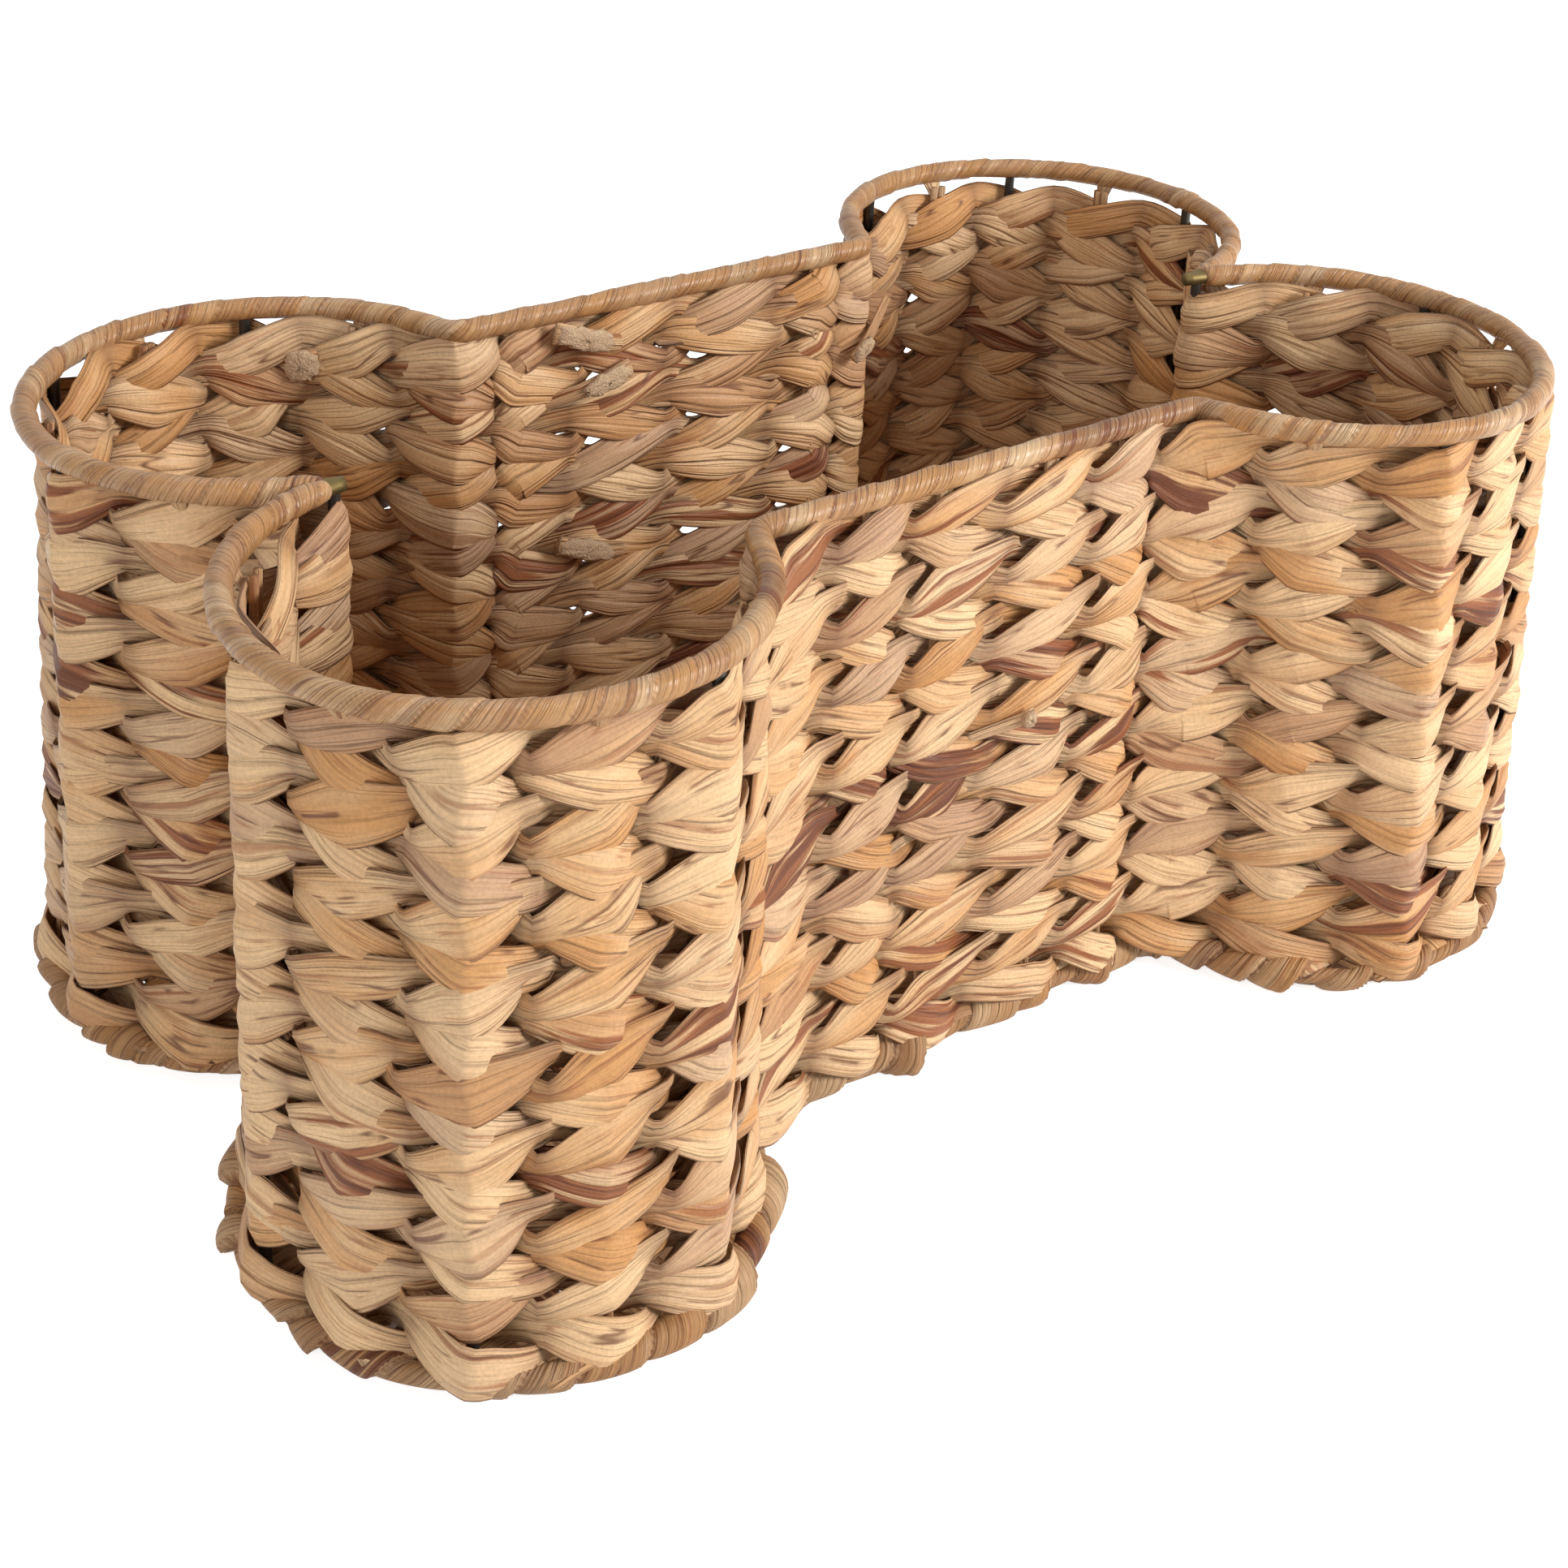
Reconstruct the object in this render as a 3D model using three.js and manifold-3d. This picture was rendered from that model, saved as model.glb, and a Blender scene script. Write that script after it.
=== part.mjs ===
// Bone-shaped basket: a welded wire frame with twined rows of flat plant-fibre strands.
// Millimetres, +Z up, origin at the centre of the footprint on the ground.
// +X runs along the bone to its right end, -Y is the front long side.

import * as THREE from 'three';
import { mergeVertices } from 'three/addons/utils/BufferGeometryUtils.js';
import Module from 'manifold-3d';

const wasm = await Module();
wasm.setup();

// Bone outline, along the middle of the rim rod
const height = 230;
const waistHalfWidth = 94;
const valleyBendRadius = 7;
const lobeCentreX = 172;
const lobeRadius = 79;

// Each lobe's circle passes the bone's long axis by this much, the notch tip lies this far beyond
// the middles of the lobes, and each valley lies this far inside of its lobe
const lobePinch = 0.5;
const notchReach = 11;
const valleyReach = 1;

// The base outline stands out this far beyond the rim's, at the ends and at the long sides
const baseOverhangEnd = 11.5;
const baseOverhangSide = 14.2;

// Rods, posts and stakes
const rodRadius = 2.5;
const postRadius = 2;
const spineRadius = 2.5;
const stakeWidth = 7;
const stakeThickness = 3.2;
const notchPostSetback = 3;

// Wrapping and weaving
const topWrapRadius = 4.2;
const baseWrapRadius = 6.5;
const rowCount = 16;
const strandThickness = 4;
const floorThickness = 5;

// The two legs of a wrapping end this share of its radius from the long axis, pressed together
const legPress = 0.8;

// How far a stake between two posts is drawn in towards the middle of its lobe
const drawInAtTop = 8;
const drawInAtBase = 3;

// Clearances
const gap = 0.3;
const slitClearance = 0.5;

// Posts on each lobe as bearings round its centre, 0 pointing out along the bone, 90 out sideways
const postBearings = {
  front_left: [110, 54, 0],
  back_left: [108, 48, -12],
  front_right: [105, 47, -12],
  back_right: [115, 58, -5],
};

// Stakes on the long sides, as distances along X
const sideStakes = { front: [-47, -18, 28, 62], back: [-69, -24, 24, 69] };

// A strand that turns by more than this beside an upright folds round it in two bends
const foldAngle = 50;

// How finely round stretches are cut, in degrees and in sides
const arcAngle = 20;
const valleySteps = 2;
const rodSides = 6;
const wrapSides = 8;
const postSides = 8;
const strandCorners = 4;
const squareSides = 4;

const lobeCentreY = lobeRadius - lobePinch;
const notchX = lobeCentreX + notchReach;
const valleyX = lobeCentreX - lobeRadius - valleyReach;
const baseLengthGrowth = 1 + baseOverhangEnd / (lobeCentreX + lobeRadius);
const baseWidthGrowth = 1 + baseOverhangSide / (lobeCentreY + lobeRadius);
const topRodZ = height - topWrapRadius;
const baseRodZ = baseWrapRadius;
const weaveLowZ = 2 * baseWrapRadius + gap;
const weaveHighZ = height - 2 * topWrapRadius - gap;
const spineZ = spineRadius + gap;
const floorZ = spineZ + spineRadius + gap;
const rowPitch = (weaveHighZ - weaveLowZ) / rowCount;

const radians = THREE.MathUtils.degToRad;
const degrees = THREE.MathUtils.radToDeg;

const lobes = {
  front_left: { signX: -1, signY: -1 },
  back_left: { signX: -1, signY: 1 },
  front_right: { signX: 1, signY: -1 },
  back_right: { signX: 1, signY: 1 },
};

// Tangent from an outside point to the lobe's circle: its bearing at the touching point
function touchBearing(x, y, side) {
  const toCentre = Math.atan2(lobeCentreY - y, lobeCentreX - x);
  const distance = Math.hypot(lobeCentreX - x, lobeCentreY - y);
  const direction = toCentre + side * Math.asin(lobeRadius / distance);
  return { direction, bearing: degrees(direction) + side * 90 };
}

const flank = touchBearing(valleyX, waistHalfWidth, 1);
const notchLeg = touchBearing(notchX, 0, -1);

const onLobe = (bearing, radius = lobeRadius) => new THREE.Vector2(
  lobeCentreX + radius * Math.cos(radians(bearing)),
  lobeCentreY + radius * Math.sin(radians(bearing)),
);

// Valley bend: a small arc between the long side and the flank of the lobe
function valleyArc() {
  const setback = valleyBendRadius * Math.tan(flank.direction / 2);
  const centre = new THREE.Vector2(valleyX - setback, waistHalfWidth + valleyBendRadius);
  const points = [];
  for (let i = 0; i <= valleySteps; i += 1) {
    const turn = (flank.direction * i) / valleySteps - Math.PI / 2;
    const arm = new THREE.Vector2(Math.cos(turn), Math.sin(turn));
    points.push(centre.clone().addScaledVector(arm, valleyBendRadius));
  }
  return points;
}

// One quarter of the rim line in its own positive quadrant, from mid side to notch tip,
// with a point at each post and at the lobe's widest places
function quarterLine(bearings) {
  const points = [new THREE.Vector2(0, waistHalfWidth), ...valleyArc()];
  const widest = [90, 0].filter((bearing) => !bearings.includes(bearing));
  const between = [...bearings, ...widest].sort((a, b) => b - a);
  const stops = [flank.bearing, ...between, notchLeg.bearing];
  for (let i = 0; i + 1 < stops.length; i += 1) {
    const steps = Math.ceil((stops[i] - stops[i + 1]) / arcAngle);
    for (let k = 0; k < steps; k += 1) {
      points.push(onLobe(stops[i] + ((stops[i + 1] - stops[i]) * k) / steps));
    }
  }
  points.push(onLobe(notchLeg.bearing), new THREE.Vector2(notchX, 0));
  return points;
}

// A point of the rim line moved to its quarter and to a height between base (0) and top (1)
function place(point, lobe, level) {
  const growthX = THREE.MathUtils.lerp(baseLengthGrowth, 1, level);
  const growthY = THREE.MathUtils.lerp(baseWidthGrowth, 1, level);
  return new THREE.Vector2(point.x * lobe.signX * growthX, point.y * lobe.signY * growthY);
}

const levelAt = (z) => (z - baseRodZ) / (topRodZ - baseRodZ);

// Rim line from the left notch tip round one long side to the right notch tip
function halfLine(side, level) {
  const leftName = `${side}_left`;
  const rightName = `${side}_right`;
  const left = quarterLine(postBearings[leftName]).map((p) => place(p, lobes[leftName], level));
  const right = quarterLine(postBearings[rightName]).map((p) => place(p, lobes[rightName], level));
  return [...left.reverse(), ...right.slice(1)];
}

// The same line cut back at both ends to where it is a given distance from the bone's long axis
function trimmed(line, distance) {
  const cutFirst = (points) => {
    const kept = points.findIndex((point) => Math.abs(point.y) > distance);
    const share = (distance - Math.abs(points[kept - 1].y))
      / (Math.abs(points[kept].y) - Math.abs(points[kept - 1].y));
    return [points[kept - 1].clone().lerp(points[kept], share), ...points.slice(kept)];
  };
  return cutFirst(cutFirst(line).reverse()).reverse();
}

// Triangles gathered as indexed points, then handed on as a three.js geometry
function geometryFrom(points, faces) {
  const geometry = new THREE.BufferGeometry();
  geometry.setAttribute('position', new THREE.Float32BufferAttribute(points.flat(), 3));
  geometry.setIndex(faces.flat());
  geometry.computeVertexNormals();
  return geometry;
}

const lengthOf = (a, b) => Math.hypot(b.x - a.x, b.y - a.y);

// Sideways direction at each point of a level line, stretched so that bends keep their width
function mitres(line) {
  return line.map((point, i) => {
    const before = line[Math.max(i - 1, 0)];
    const after = line[Math.min(i + 1, line.length - 1)];
    const arriving = new THREE.Vector2().subVectors(point, before);
    const leaving = new THREE.Vector2().subVectors(after, point);
    if (arriving.lengthSq() === 0) arriving.copy(leaving);
    if (leaving.lengthSq() === 0) leaving.copy(arriving);
    const along = arriving.normalize().clone().add(leaving.normalize()).normalize();
    const across = new THREE.Vector2(along.y, -along.x);
    return across.divideScalar(along.dot(leaving));
  });
}

// A section, given as (across, up) points anticlockwise, carried along a level line
function sweepAlong(line, z, section) {
  const across = mitres(line);
  const points = [];
  line.forEach((point, i) => {
    section.forEach(([u, v]) => {
      points.push([point.x + across[i].x * u, point.y + across[i].y * u, z + v]);
    });
  });
  const sides = section.length;
  const faces = [];
  for (let i = 0; i + 1 < line.length; i += 1) {
    for (let k = 0; k < sides; k += 1) {
      const a = i * sides + k;
      const b = i * sides + ((k + 1) % sides);
      faces.push([a, b + sides, b], [a, a + sides, b + sides]);
    }
  }
  const last = (line.length - 1) * sides;
  const contour = section.map(([u, v]) => new THREE.Vector2(u, v));
  THREE.ShapeUtils.triangulateShape(contour, []).forEach(([a, b, c]) => {
    faces.push([a, b, c], [last + a, last + c, last + b]);
  });
  return geometryFrom(points, faces);
}

// Regular section with flat top and bottom, measured across its flats
function evenSection(flatRadius, sides) {
  const corner = flatRadius / Math.cos(Math.PI / sides);
  const section = [];
  for (let k = 0; k < sides; k += 1) {
    const angle = ((k + 0.5) * 2 * Math.PI) / sides - Math.PI / 2;
    section.push([corner * Math.cos(angle), corner * Math.sin(angle)]);
  }
  return section;
}

function solidOf(geometry) {
  const vertProperties = new Float32Array(geometry.attributes.position.array);
  const triVerts = new Uint32Array(geometry.index.array);
  return new wasm.Manifold(new wasm.Mesh({ numProp: 3, vertProperties, triVerts }));
}

function geometryOf(solid) {
  const mesh = solid.getMesh();
  const geometry = new THREE.BufferGeometry();
  geometry.setAttribute('position', new THREE.BufferAttribute(mesh.vertProperties, 3));
  geometry.setIndex(new THREE.BufferAttribute(mesh.triVerts, 1));
  geometry.computeVertexNormals();
  return geometry;
}

// Both halves of a rim, joined where their legs meet in the notches
function rim(z, section) {
  const front = solidOf(sweepAlong(halfLine('front', levelAt(z)), z, section));
  const back = solidOf(sweepAlong(halfLine('back', levelAt(z)), z, section));
  return front.add(back);
}

// Half-height of such a section at a distance across from its middle
function edgeHeight(flatRadius, sides, across) {
  const turn = (2 * Math.PI) / sides;
  return Math.min(flatRadius, (flatRadius - across * Math.sin(turn)) / Math.cos(turn));
}

// Section of the wrapping: a ring cut open where the posts come in, below (-1) or above (1)
function wrapSection(flatRadius, postSide) {
  const slit = postRadius + slitClearance;
  const channel = rodRadius + gap;
  const turnOver = ([u, v]) => [u * -postSide, v * -postSide];
  const isWhole = ([u, v]) => v > 0 || Math.abs(u) > slit;
  const outer = evenSection(flatRadius, wrapSides).filter(isWhole);
  const inner = evenSection(channel, rodSides).filter(isWhole);
  const section = [
    [slit, -edgeHeight(flatRadius, wrapSides, slit)],
    ...outer,
    [-slit, -edgeHeight(flatRadius, wrapSides, slit)],
    [-slit, -edgeHeight(channel, rodSides, slit)],
    ...inner.reverse(),
    [slit, -edgeHeight(channel, rodSides, slit)],
  ];
  return section.map(turnOver);
}

// The wrapping stops short of the notch tips, where its two legs press together
function wrap(z, flatRadius, postSide) {
  const pressed = flatRadius * legPress;
  const section = wrapSection(flatRadius, postSide);
  const halves = ['front', 'back'].map((side) => {
    const line = trimmed(halfLine(side, levelAt(z)), pressed);
    return solidOf(sweepAlong(line, z, section));
  });
  return geometryOf(halves[0].add(halves[1]));
}

// Every upright in order round the basket, each with its foot and its head
function uprightsRound() {
  const lobeStops = (name) => {
    const lobe = lobes[name];
    const posts = postBearings[name];
    const stops = [];
    stops.push({
      name: `valley_post_${name}`,
      kind: 'post',
      at: (level) => place(valleyArc()[valleySteps / 2], lobe, level),
    });
    posts.forEach((bearing, i) => {
      const next = i + 1 < posts.length ? posts[i + 1] : notchLeg.bearing;
      const between = (bearing + next) / 2;
      const drawIn = (level) => THREE.MathUtils.lerp(drawInAtBase, drawInAtTop, level);
      stops.push({
        name: `lobe_post_${name}_${i + 1}`,
        kind: 'post',
        at: (level) => place(onLobe(bearing), lobe, level),
      });
      stops.push({
        name: `lobe_stake_${name}_${i + 1}`,
        kind: 'stake',
        at: (level) => place(onLobe(between, lobeRadius - drawIn(level)), lobe, level),
      });
    });
    return stops;
  };
  const sideStops = (side) => sideStakes[side].map((x, i) => ({
    name: `side_stake_${side}_${i + 1}`,
    kind: 'stake',
    at: (level) => place(new THREE.Vector2(Math.abs(x), waistHalfWidth), {
      signX: Math.sign(x),
      signY: side === 'front' ? -1 : 1,
    }, level),
  }));
  const notchStop = (name, signX) => ({
    name,
    kind: 'post',
    at: (level) => place(new THREE.Vector2(notchX + notchPostSetback, 0), { signX, signY: 1 }, level),
  });
  return [
    notchStop('notch_post_left', -1),
    ...lobeStops('front_left').reverse(),
    ...sideStops('front'),
    ...lobeStops('front_right'),
    notchStop('notch_post_right', 1),
    ...lobeStops('back_right').reverse(),
    ...sideStops('back').reverse(),
    ...lobeStops('back_left'),
  ];
}

const uprights = uprightsRound();

// Where a strand's two faces stand beside one upright; side is 1 outside it and -1 inside it
function facesBeside(centres, i, side) {
  const count = centres.length;
  const here = centres[i];
  const before = centres[(i + count - 1) % count];
  const after = centres[(i + 1) % count];
  const arriving = new THREE.Vector2().subVectors(here, before).normalize();
  const leaving = new THREE.Vector2().subVectors(after, here).normalize();
  const along = arriving.clone().add(leaving).normalize();
  const outward = new THREE.Vector2(along.y, -along.x);
  const turn = Math.atan2(arriving.cross(leaving), arriving.dot(leaving)) / 2;
  const nearer = Math.min(lengthOf(before, here), lengthOf(here, after));
  const near = Math.max(postRadius, stakeThickness / 2) + gap;
  const slant = Math.atan((2 * near + strandThickness) / nearer);
  const bend = side * turn + slant;
  const isSharp = bend > radians(foldAngle);
  const share = isSharp ? bend / 2 : Math.max(bend, 0);
  const nearReach = near / Math.cos(share);
  const farReach = nearReach + strandThickness / Math.cos(isSharp ? share : bend);
  const swings = isSharp ? [-side * share, side * share] : [0];
  return swings.map((swing) => {
    const arm = outward.clone().rotateAround(new THREE.Vector2(), swing).multiplyScalar(side);
    const nearPoint = here.clone().addScaledVector(arm, nearReach);
    const farPoint = here.clone().addScaledVector(arm, farReach);
    return side > 0 ? { outer: farPoint, inner: nearPoint } : { outer: nearPoint, inner: farPoint };
  });
}

function strandLine(z, firstSide) {
  const centres = uprights.map((upright) => upright.at(levelAt(z)));
  return centres.flatMap((centre, i) => facesBeside(centres, i, i % 2 ? -firstSide : firstSide));
}

// One woven row: a band that goes outside one upright and inside the next
function row(index) {
  const low = weaveLowZ + index * rowPitch;
  const high = low + rowPitch - gap;
  const firstSide = index % 2 ? -1 : 1;
  const lower = strandLine(low, firstSide);
  const upper = strandLine(high, firstSide);
  const points = [];
  lower.forEach(({ outer, inner }, i) => {
    points.push([outer.x, outer.y, low], [inner.x, inner.y, low]);
    points.push([upper[i].inner.x, upper[i].inner.y, high], [upper[i].outer.x, upper[i].outer.y, high]);
  });
  const faces = [];
  lower.forEach((unused, i) => {
    const next = (i + 1) % lower.length;
    for (let k = 0; k < strandCorners; k += 1) {
      const following = (k + 1) % strandCorners;
      const a = i * strandCorners + k;
      const b = i * strandCorners + following;
      const c = next * strandCorners + following;
      const d = next * strandCorners + k;
      faces.push([a, b, c], [a, c, d]);
    }
  });
  return geometryFrom(points, faces);
}

// A straight bar of round or flattened section between two points
function bar(foot, head, width, thickness, facing) {
  const axis = new THREE.Vector3().subVectors(head, foot);
  const geometry = new THREE.CylinderGeometry(0.5, 0.5, 1, postSides);
  const up = axis.clone().normalize();
  const across = new THREE.Vector3().crossVectors(up, facing).normalize();
  const out = new THREE.Vector3().crossVectors(across, up).normalize();
  const basis = new THREE.Matrix4().makeBasis(
    across.multiplyScalar(width),
    axis,
    out.multiplyScalar(thickness),
  );
  const middle = new THREE.Vector3().addVectors(foot, head).multiplyScalar(0.5);
  geometry.applyMatrix4(basis);
  if (basis.determinant() < 0) throw new Error('bar turned inside out');
  geometry.translate(middle.x, middle.y, middle.z);
  return geometry;
}

function uprightBar(index) {
  const upright = uprights[index];
  const isPost = upright.kind === 'post';
  const lowZ = isPost ? baseRodZ + rodRadius + gap : weaveLowZ;
  const highZ = isPost ? topRodZ - rodRadius - gap : weaveHighZ;
  const low = upright.at(levelAt(lowZ));
  const high = upright.at(levelAt(highZ));
  const before = uprights[(index + uprights.length - 1) % uprights.length].at(0);
  const after = uprights[(index + 1) % uprights.length].at(0);
  const facing = new THREE.Vector3(after.y - before.y, before.x - after.x, 0);
  return bar(
    new THREE.Vector3(low.x, low.y, lowZ),
    new THREE.Vector3(high.x, high.y, highZ),
    isPost ? 2 * postRadius : stakeWidth,
    isPost ? 2 * postRadius : stakeThickness,
    facing,
  );
}

// The floor mat fills the base rim up to its wrapping
function floorMat() {
  const line = [...halfLine('front', 0), ...halfLine('back', 0).reverse().slice(1, -1)];
  const sheet = new THREE.ExtrudeGeometry(new THREE.Shape(line), {
    depth: floorThickness,
    bevelEnabled: false,
  });
  sheet.translate(0, 0, floorZ);
  sheet.deleteAttribute('normal');
  sheet.deleteAttribute('uv');
  const edge = rim(baseRodZ, evenSection(baseWrapRadius + gap, squareSides));
  return geometryOf(solidOf(mergeVertices(sheet)).subtract(edge));
}

// A rod under the floor mat, from one notch of the base rod to the other
function spine() {
  const reach = notchX * baseLengthGrowth - rodRadius * Math.sin(notchLeg.direction) - gap;
  return bar(
    new THREE.Vector3(-reach, 0, spineZ),
    new THREE.Vector3(reach, 0, spineZ),
    2 * spineRadius,
    2 * spineRadius,
    new THREE.Vector3(0, 0, 1),
  );
}

const group = new THREE.Group();

function addPiece(name, geometry, material) {
  const mesh = new THREE.Mesh(geometry, material);
  mesh.name = name;
  group.add(mesh);
}

const finish = (color, roughness, metalness) => () => new THREE.MeshStandardMaterial({
  color,
  roughness,
  metalness,
});
const rodFinish = finish(0x9a8458, 0.4, 0.8);
const postFinish = finish(0x5d5650, 0.5, 0.7);
const wrapFinish = finish(0xb08f63, 0.6, 0);
const baseWrapFinish = finish(0xae8657, 0.8, 0);
const stakeFinish = finish(0xa9834f, 0.8, 0);
const rowFinish = finish(0xc49a68, 0.8, 0);
const floorFinish = finish(0x9c7448, 0.85, 0);

addPiece('top_rim_rod', geometryOf(rim(topRodZ, evenSection(rodRadius, rodSides))), rodFinish());
addPiece('top_rim_wrap', wrap(topRodZ, topWrapRadius, -1), wrapFinish());
addPiece('base_rim_rod', geometryOf(rim(baseRodZ, evenSection(rodRadius, rodSides))), postFinish());
addPiece('base_rim_wrap', wrap(baseRodZ, baseWrapRadius, 1), baseWrapFinish());
addPiece('floor_mat', floorMat(), floorFinish());
addPiece('floor_spine_rod', spine(), postFinish());
uprights.forEach((upright, index) => {
  addPiece(upright.name, uprightBar(index), upright.kind === 'post' ? postFinish() : stakeFinish());
});
for (let index = 0; index < rowCount; index += 1) {
  addPiece(`weave_row_${String(index + 1).padStart(2, '0')}`, row(index), rowFinish());
}

export default group;
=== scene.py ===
"""Bone-shaped basket: twined plant-fibre rows over a welded wire frame, with wrapped rims."""

import math
from functools import partial

import bpy
import numpy as np
from bpy.props import FloatProperty, FloatVectorProperty, IntProperty, PointerProperty
from mathutils import Matrix, Vector


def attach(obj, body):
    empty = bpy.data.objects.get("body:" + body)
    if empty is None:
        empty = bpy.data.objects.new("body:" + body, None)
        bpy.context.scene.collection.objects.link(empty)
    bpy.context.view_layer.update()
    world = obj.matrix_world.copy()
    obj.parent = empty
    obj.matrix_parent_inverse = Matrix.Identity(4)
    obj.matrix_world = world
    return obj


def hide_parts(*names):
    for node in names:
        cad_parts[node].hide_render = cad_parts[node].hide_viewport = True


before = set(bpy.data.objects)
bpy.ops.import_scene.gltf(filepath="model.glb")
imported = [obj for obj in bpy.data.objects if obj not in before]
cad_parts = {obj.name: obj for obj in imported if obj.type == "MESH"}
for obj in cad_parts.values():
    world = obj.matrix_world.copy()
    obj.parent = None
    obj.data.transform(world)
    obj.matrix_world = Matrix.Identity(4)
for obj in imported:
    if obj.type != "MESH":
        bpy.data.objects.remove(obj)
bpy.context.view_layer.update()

bl_info = {
    "name": "Bone Basket",
    "version": (1, 0, 0),
    "blender": (4, 5, 0),
    "location": "View3D > Sidebar > Basket",
    "description": "Twined rows, wrapped rims and a woven floor for a bone-shaped wire frame",
    "category": "Object",
}


def srgb(code):
    """A hex colour as it is seen, turned into the linear values that a shader takes."""
    parts = [int(code[i : i + 2], 16) / 255 for i in (1, 3, 5)]
    return tuple(p / 12.92 if p <= 0.04045 else ((p + 0.055) / 1.055) ** 2.4 for p in parts)


def length(name, description, default):
    return FloatProperty(
        name=name, description=description, default=default, min=0, precision=4, unit="LENGTH"
    )


def angle(name, description, default):
    return FloatProperty(name=name, description=description, default=default, subtype="ANGLE")


def colour(name, description, code):
    return FloatVectorProperty(
        name=name,
        description=description,
        default=srgb(code),
        size=3,
        min=0,
        max=1,
        subtype="COLOR",
    )


# Sizes and colours


class BoneOutline(bpy.types.PropertyGroup):
    """The bone outline, along the middle of the rim rod."""

    height: length("Height", "Overall height of the basket", 0.230)
    waist: length("Waist half width", "From the long axis to a long side", 0.094)
    valley_bend: length("Valley bend", "Radius of the bend between side and lobe", 0.007)
    lobe_x: length("Lobe centre", "From mid length to a lobe's centre", 0.172)
    lobe_radius: length("Lobe radius", "Radius of each lobe", 0.079)
    lobe_pinch: length("Lobe pinch", "How far a lobe's circle passes the long axis", 0.0005)
    notch_reach: length("Notch reach", "From the lobe centres out to the notch tip", 0.011)
    valley_reach: length("Valley reach", "How far a valley lies inside of its lobe", 0.001)
    overhang_end: length("End overhang", "Extra length of the base at each end", 0.0115)
    overhang_side: length("Side overhang", "Extra width of the base at each side", 0.0142)
    notch_setback: length("Notch post setback", "From the notch tip to its post", 0.003)
    drawn_in_top: length("Draw-in at top", "How far a lobe's fibre stake is pulled in", 0.008)
    drawn_in_base: length("Draw-in at base", "The same at the base", 0.003)


class WeaveSizes(bpy.types.PropertyGroup):
    """Rods, strands and wrapping."""

    rod: length("Rod radius", "Radius of both rim rods", 0.0025)
    post: length("Post radius", "Radius of the metal posts", 0.002)
    top_wrap: length("Top wrap radius", "Radius of the wrapped top rim", 0.0042)
    base_wrap: length("Base wrap radius", "Radius of the wrapped base rim", 0.0065)
    rows: IntProperty(name="Rows", description="Number of twined rows", default=16, min=1)
    post_leaf: length("Strand width at posts", "Width of a strand over a metal post", 0.0200)
    stake_leaf: length("Strand width at stakes", "Width of a strand over a stake", 0.0158)
    neck: length("Crossing width", "Width of a strand where two cross", 0.0124)
    leaf_thick: length("Strand thickness", "Thickness over an upright", 0.0024)
    neck_thick: length("Crossing thickness", "Thickness where two cross", 0.0031)
    rise: length("Twist rise", "How far a strand climbs or drops at a crossing", 0.0060)
    tuck_under: angle("Tuck", "Roll of a strand where it slips under", 0.35)
    shingle: angle("Lean", "Lean of each strand over the row below", 0.12)
    post_fold: length("Fold at posts", "Length over which a strand folds at a post", 0.003)
    stake_fold: length("Bend at stakes", "Length over which a strand bends at a stake", 0.009)
    bridge: length("Bridge", "Length over which a strand crosses the hollow of a bend", 0.020)
    pull: FloatProperty(
        name="Pull", description="How straight a strand is pulled there", default=0.85, max=1
    )
    gap: length("Gap", "Half height of a gap where two rows part beside an upright", 0.0031)
    lap: length("Lap", "How far odd rows lie outside of even ones at a crossing", 0.0010)
    top_sag: length("Top row sag", "How far the top row hangs below the rim on the lobes", 0.0026)
    back_sag: length("Back sag", "The same on the right lobe at the back, the loosest", 0.0070)


class FibreColours(bpy.types.PropertyGroup):
    """Dried water hyacinth, from pale straw to stained brown."""

    straw: colour("Straw", "Palest strands", "#ecc596")
    tan: colour("Tan", "Usual strands", "#cd955c")
    grey: colour("Grey tan", "Weathered strands", "#b5937a")
    # Russet and bark also serve as painted shade: both in the grooves of the pleats, and bark where
    # strands cross and where turns of wrapping lap
    russet: colour("Russet", "Red-brown strands", "#92522a")
    pith: colour("Pith", "Soft core at cut ends", "#cdb08c")
    bark: colour("Bark", "Darkest streaks and creases", "#59290f")


class MetalColours(bpy.types.PropertyGroup):
    """The welded frame."""

    post: colour("Post", "Dark coated steel of the posts", "#58524c")
    rod: colour("Rim rod", "Brass-coloured steel of the rim", "#7d6c46")


# Outline


# Signs of X and Y in each lobe
LOBES = {
    "front_left": (-1, -1),
    "back_left": (-1, 1),
    "front_right": (1, -1),
    "back_right": (1, 1),
}
# Bearings of the posts from their lobe's centre, in degrees, with every lobe turned to the back
# right one, and places of the stakes along a side
POST_BEARINGS = {
    "front_left": (110, 54, 0),
    "back_left": (108, 48, -12),
    "front_right": (105, 47, -12),
    "back_right": (115, 58, -5),
}
SIDE_STAKES = {"front": (-0.047, -0.018, 0.028, 0.062), "back": (-0.069, -0.024, 0.024, 0.069)}
FLANK_OUT = 0.004  # how far the stake beside a valley stands out from between its two posts


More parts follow.
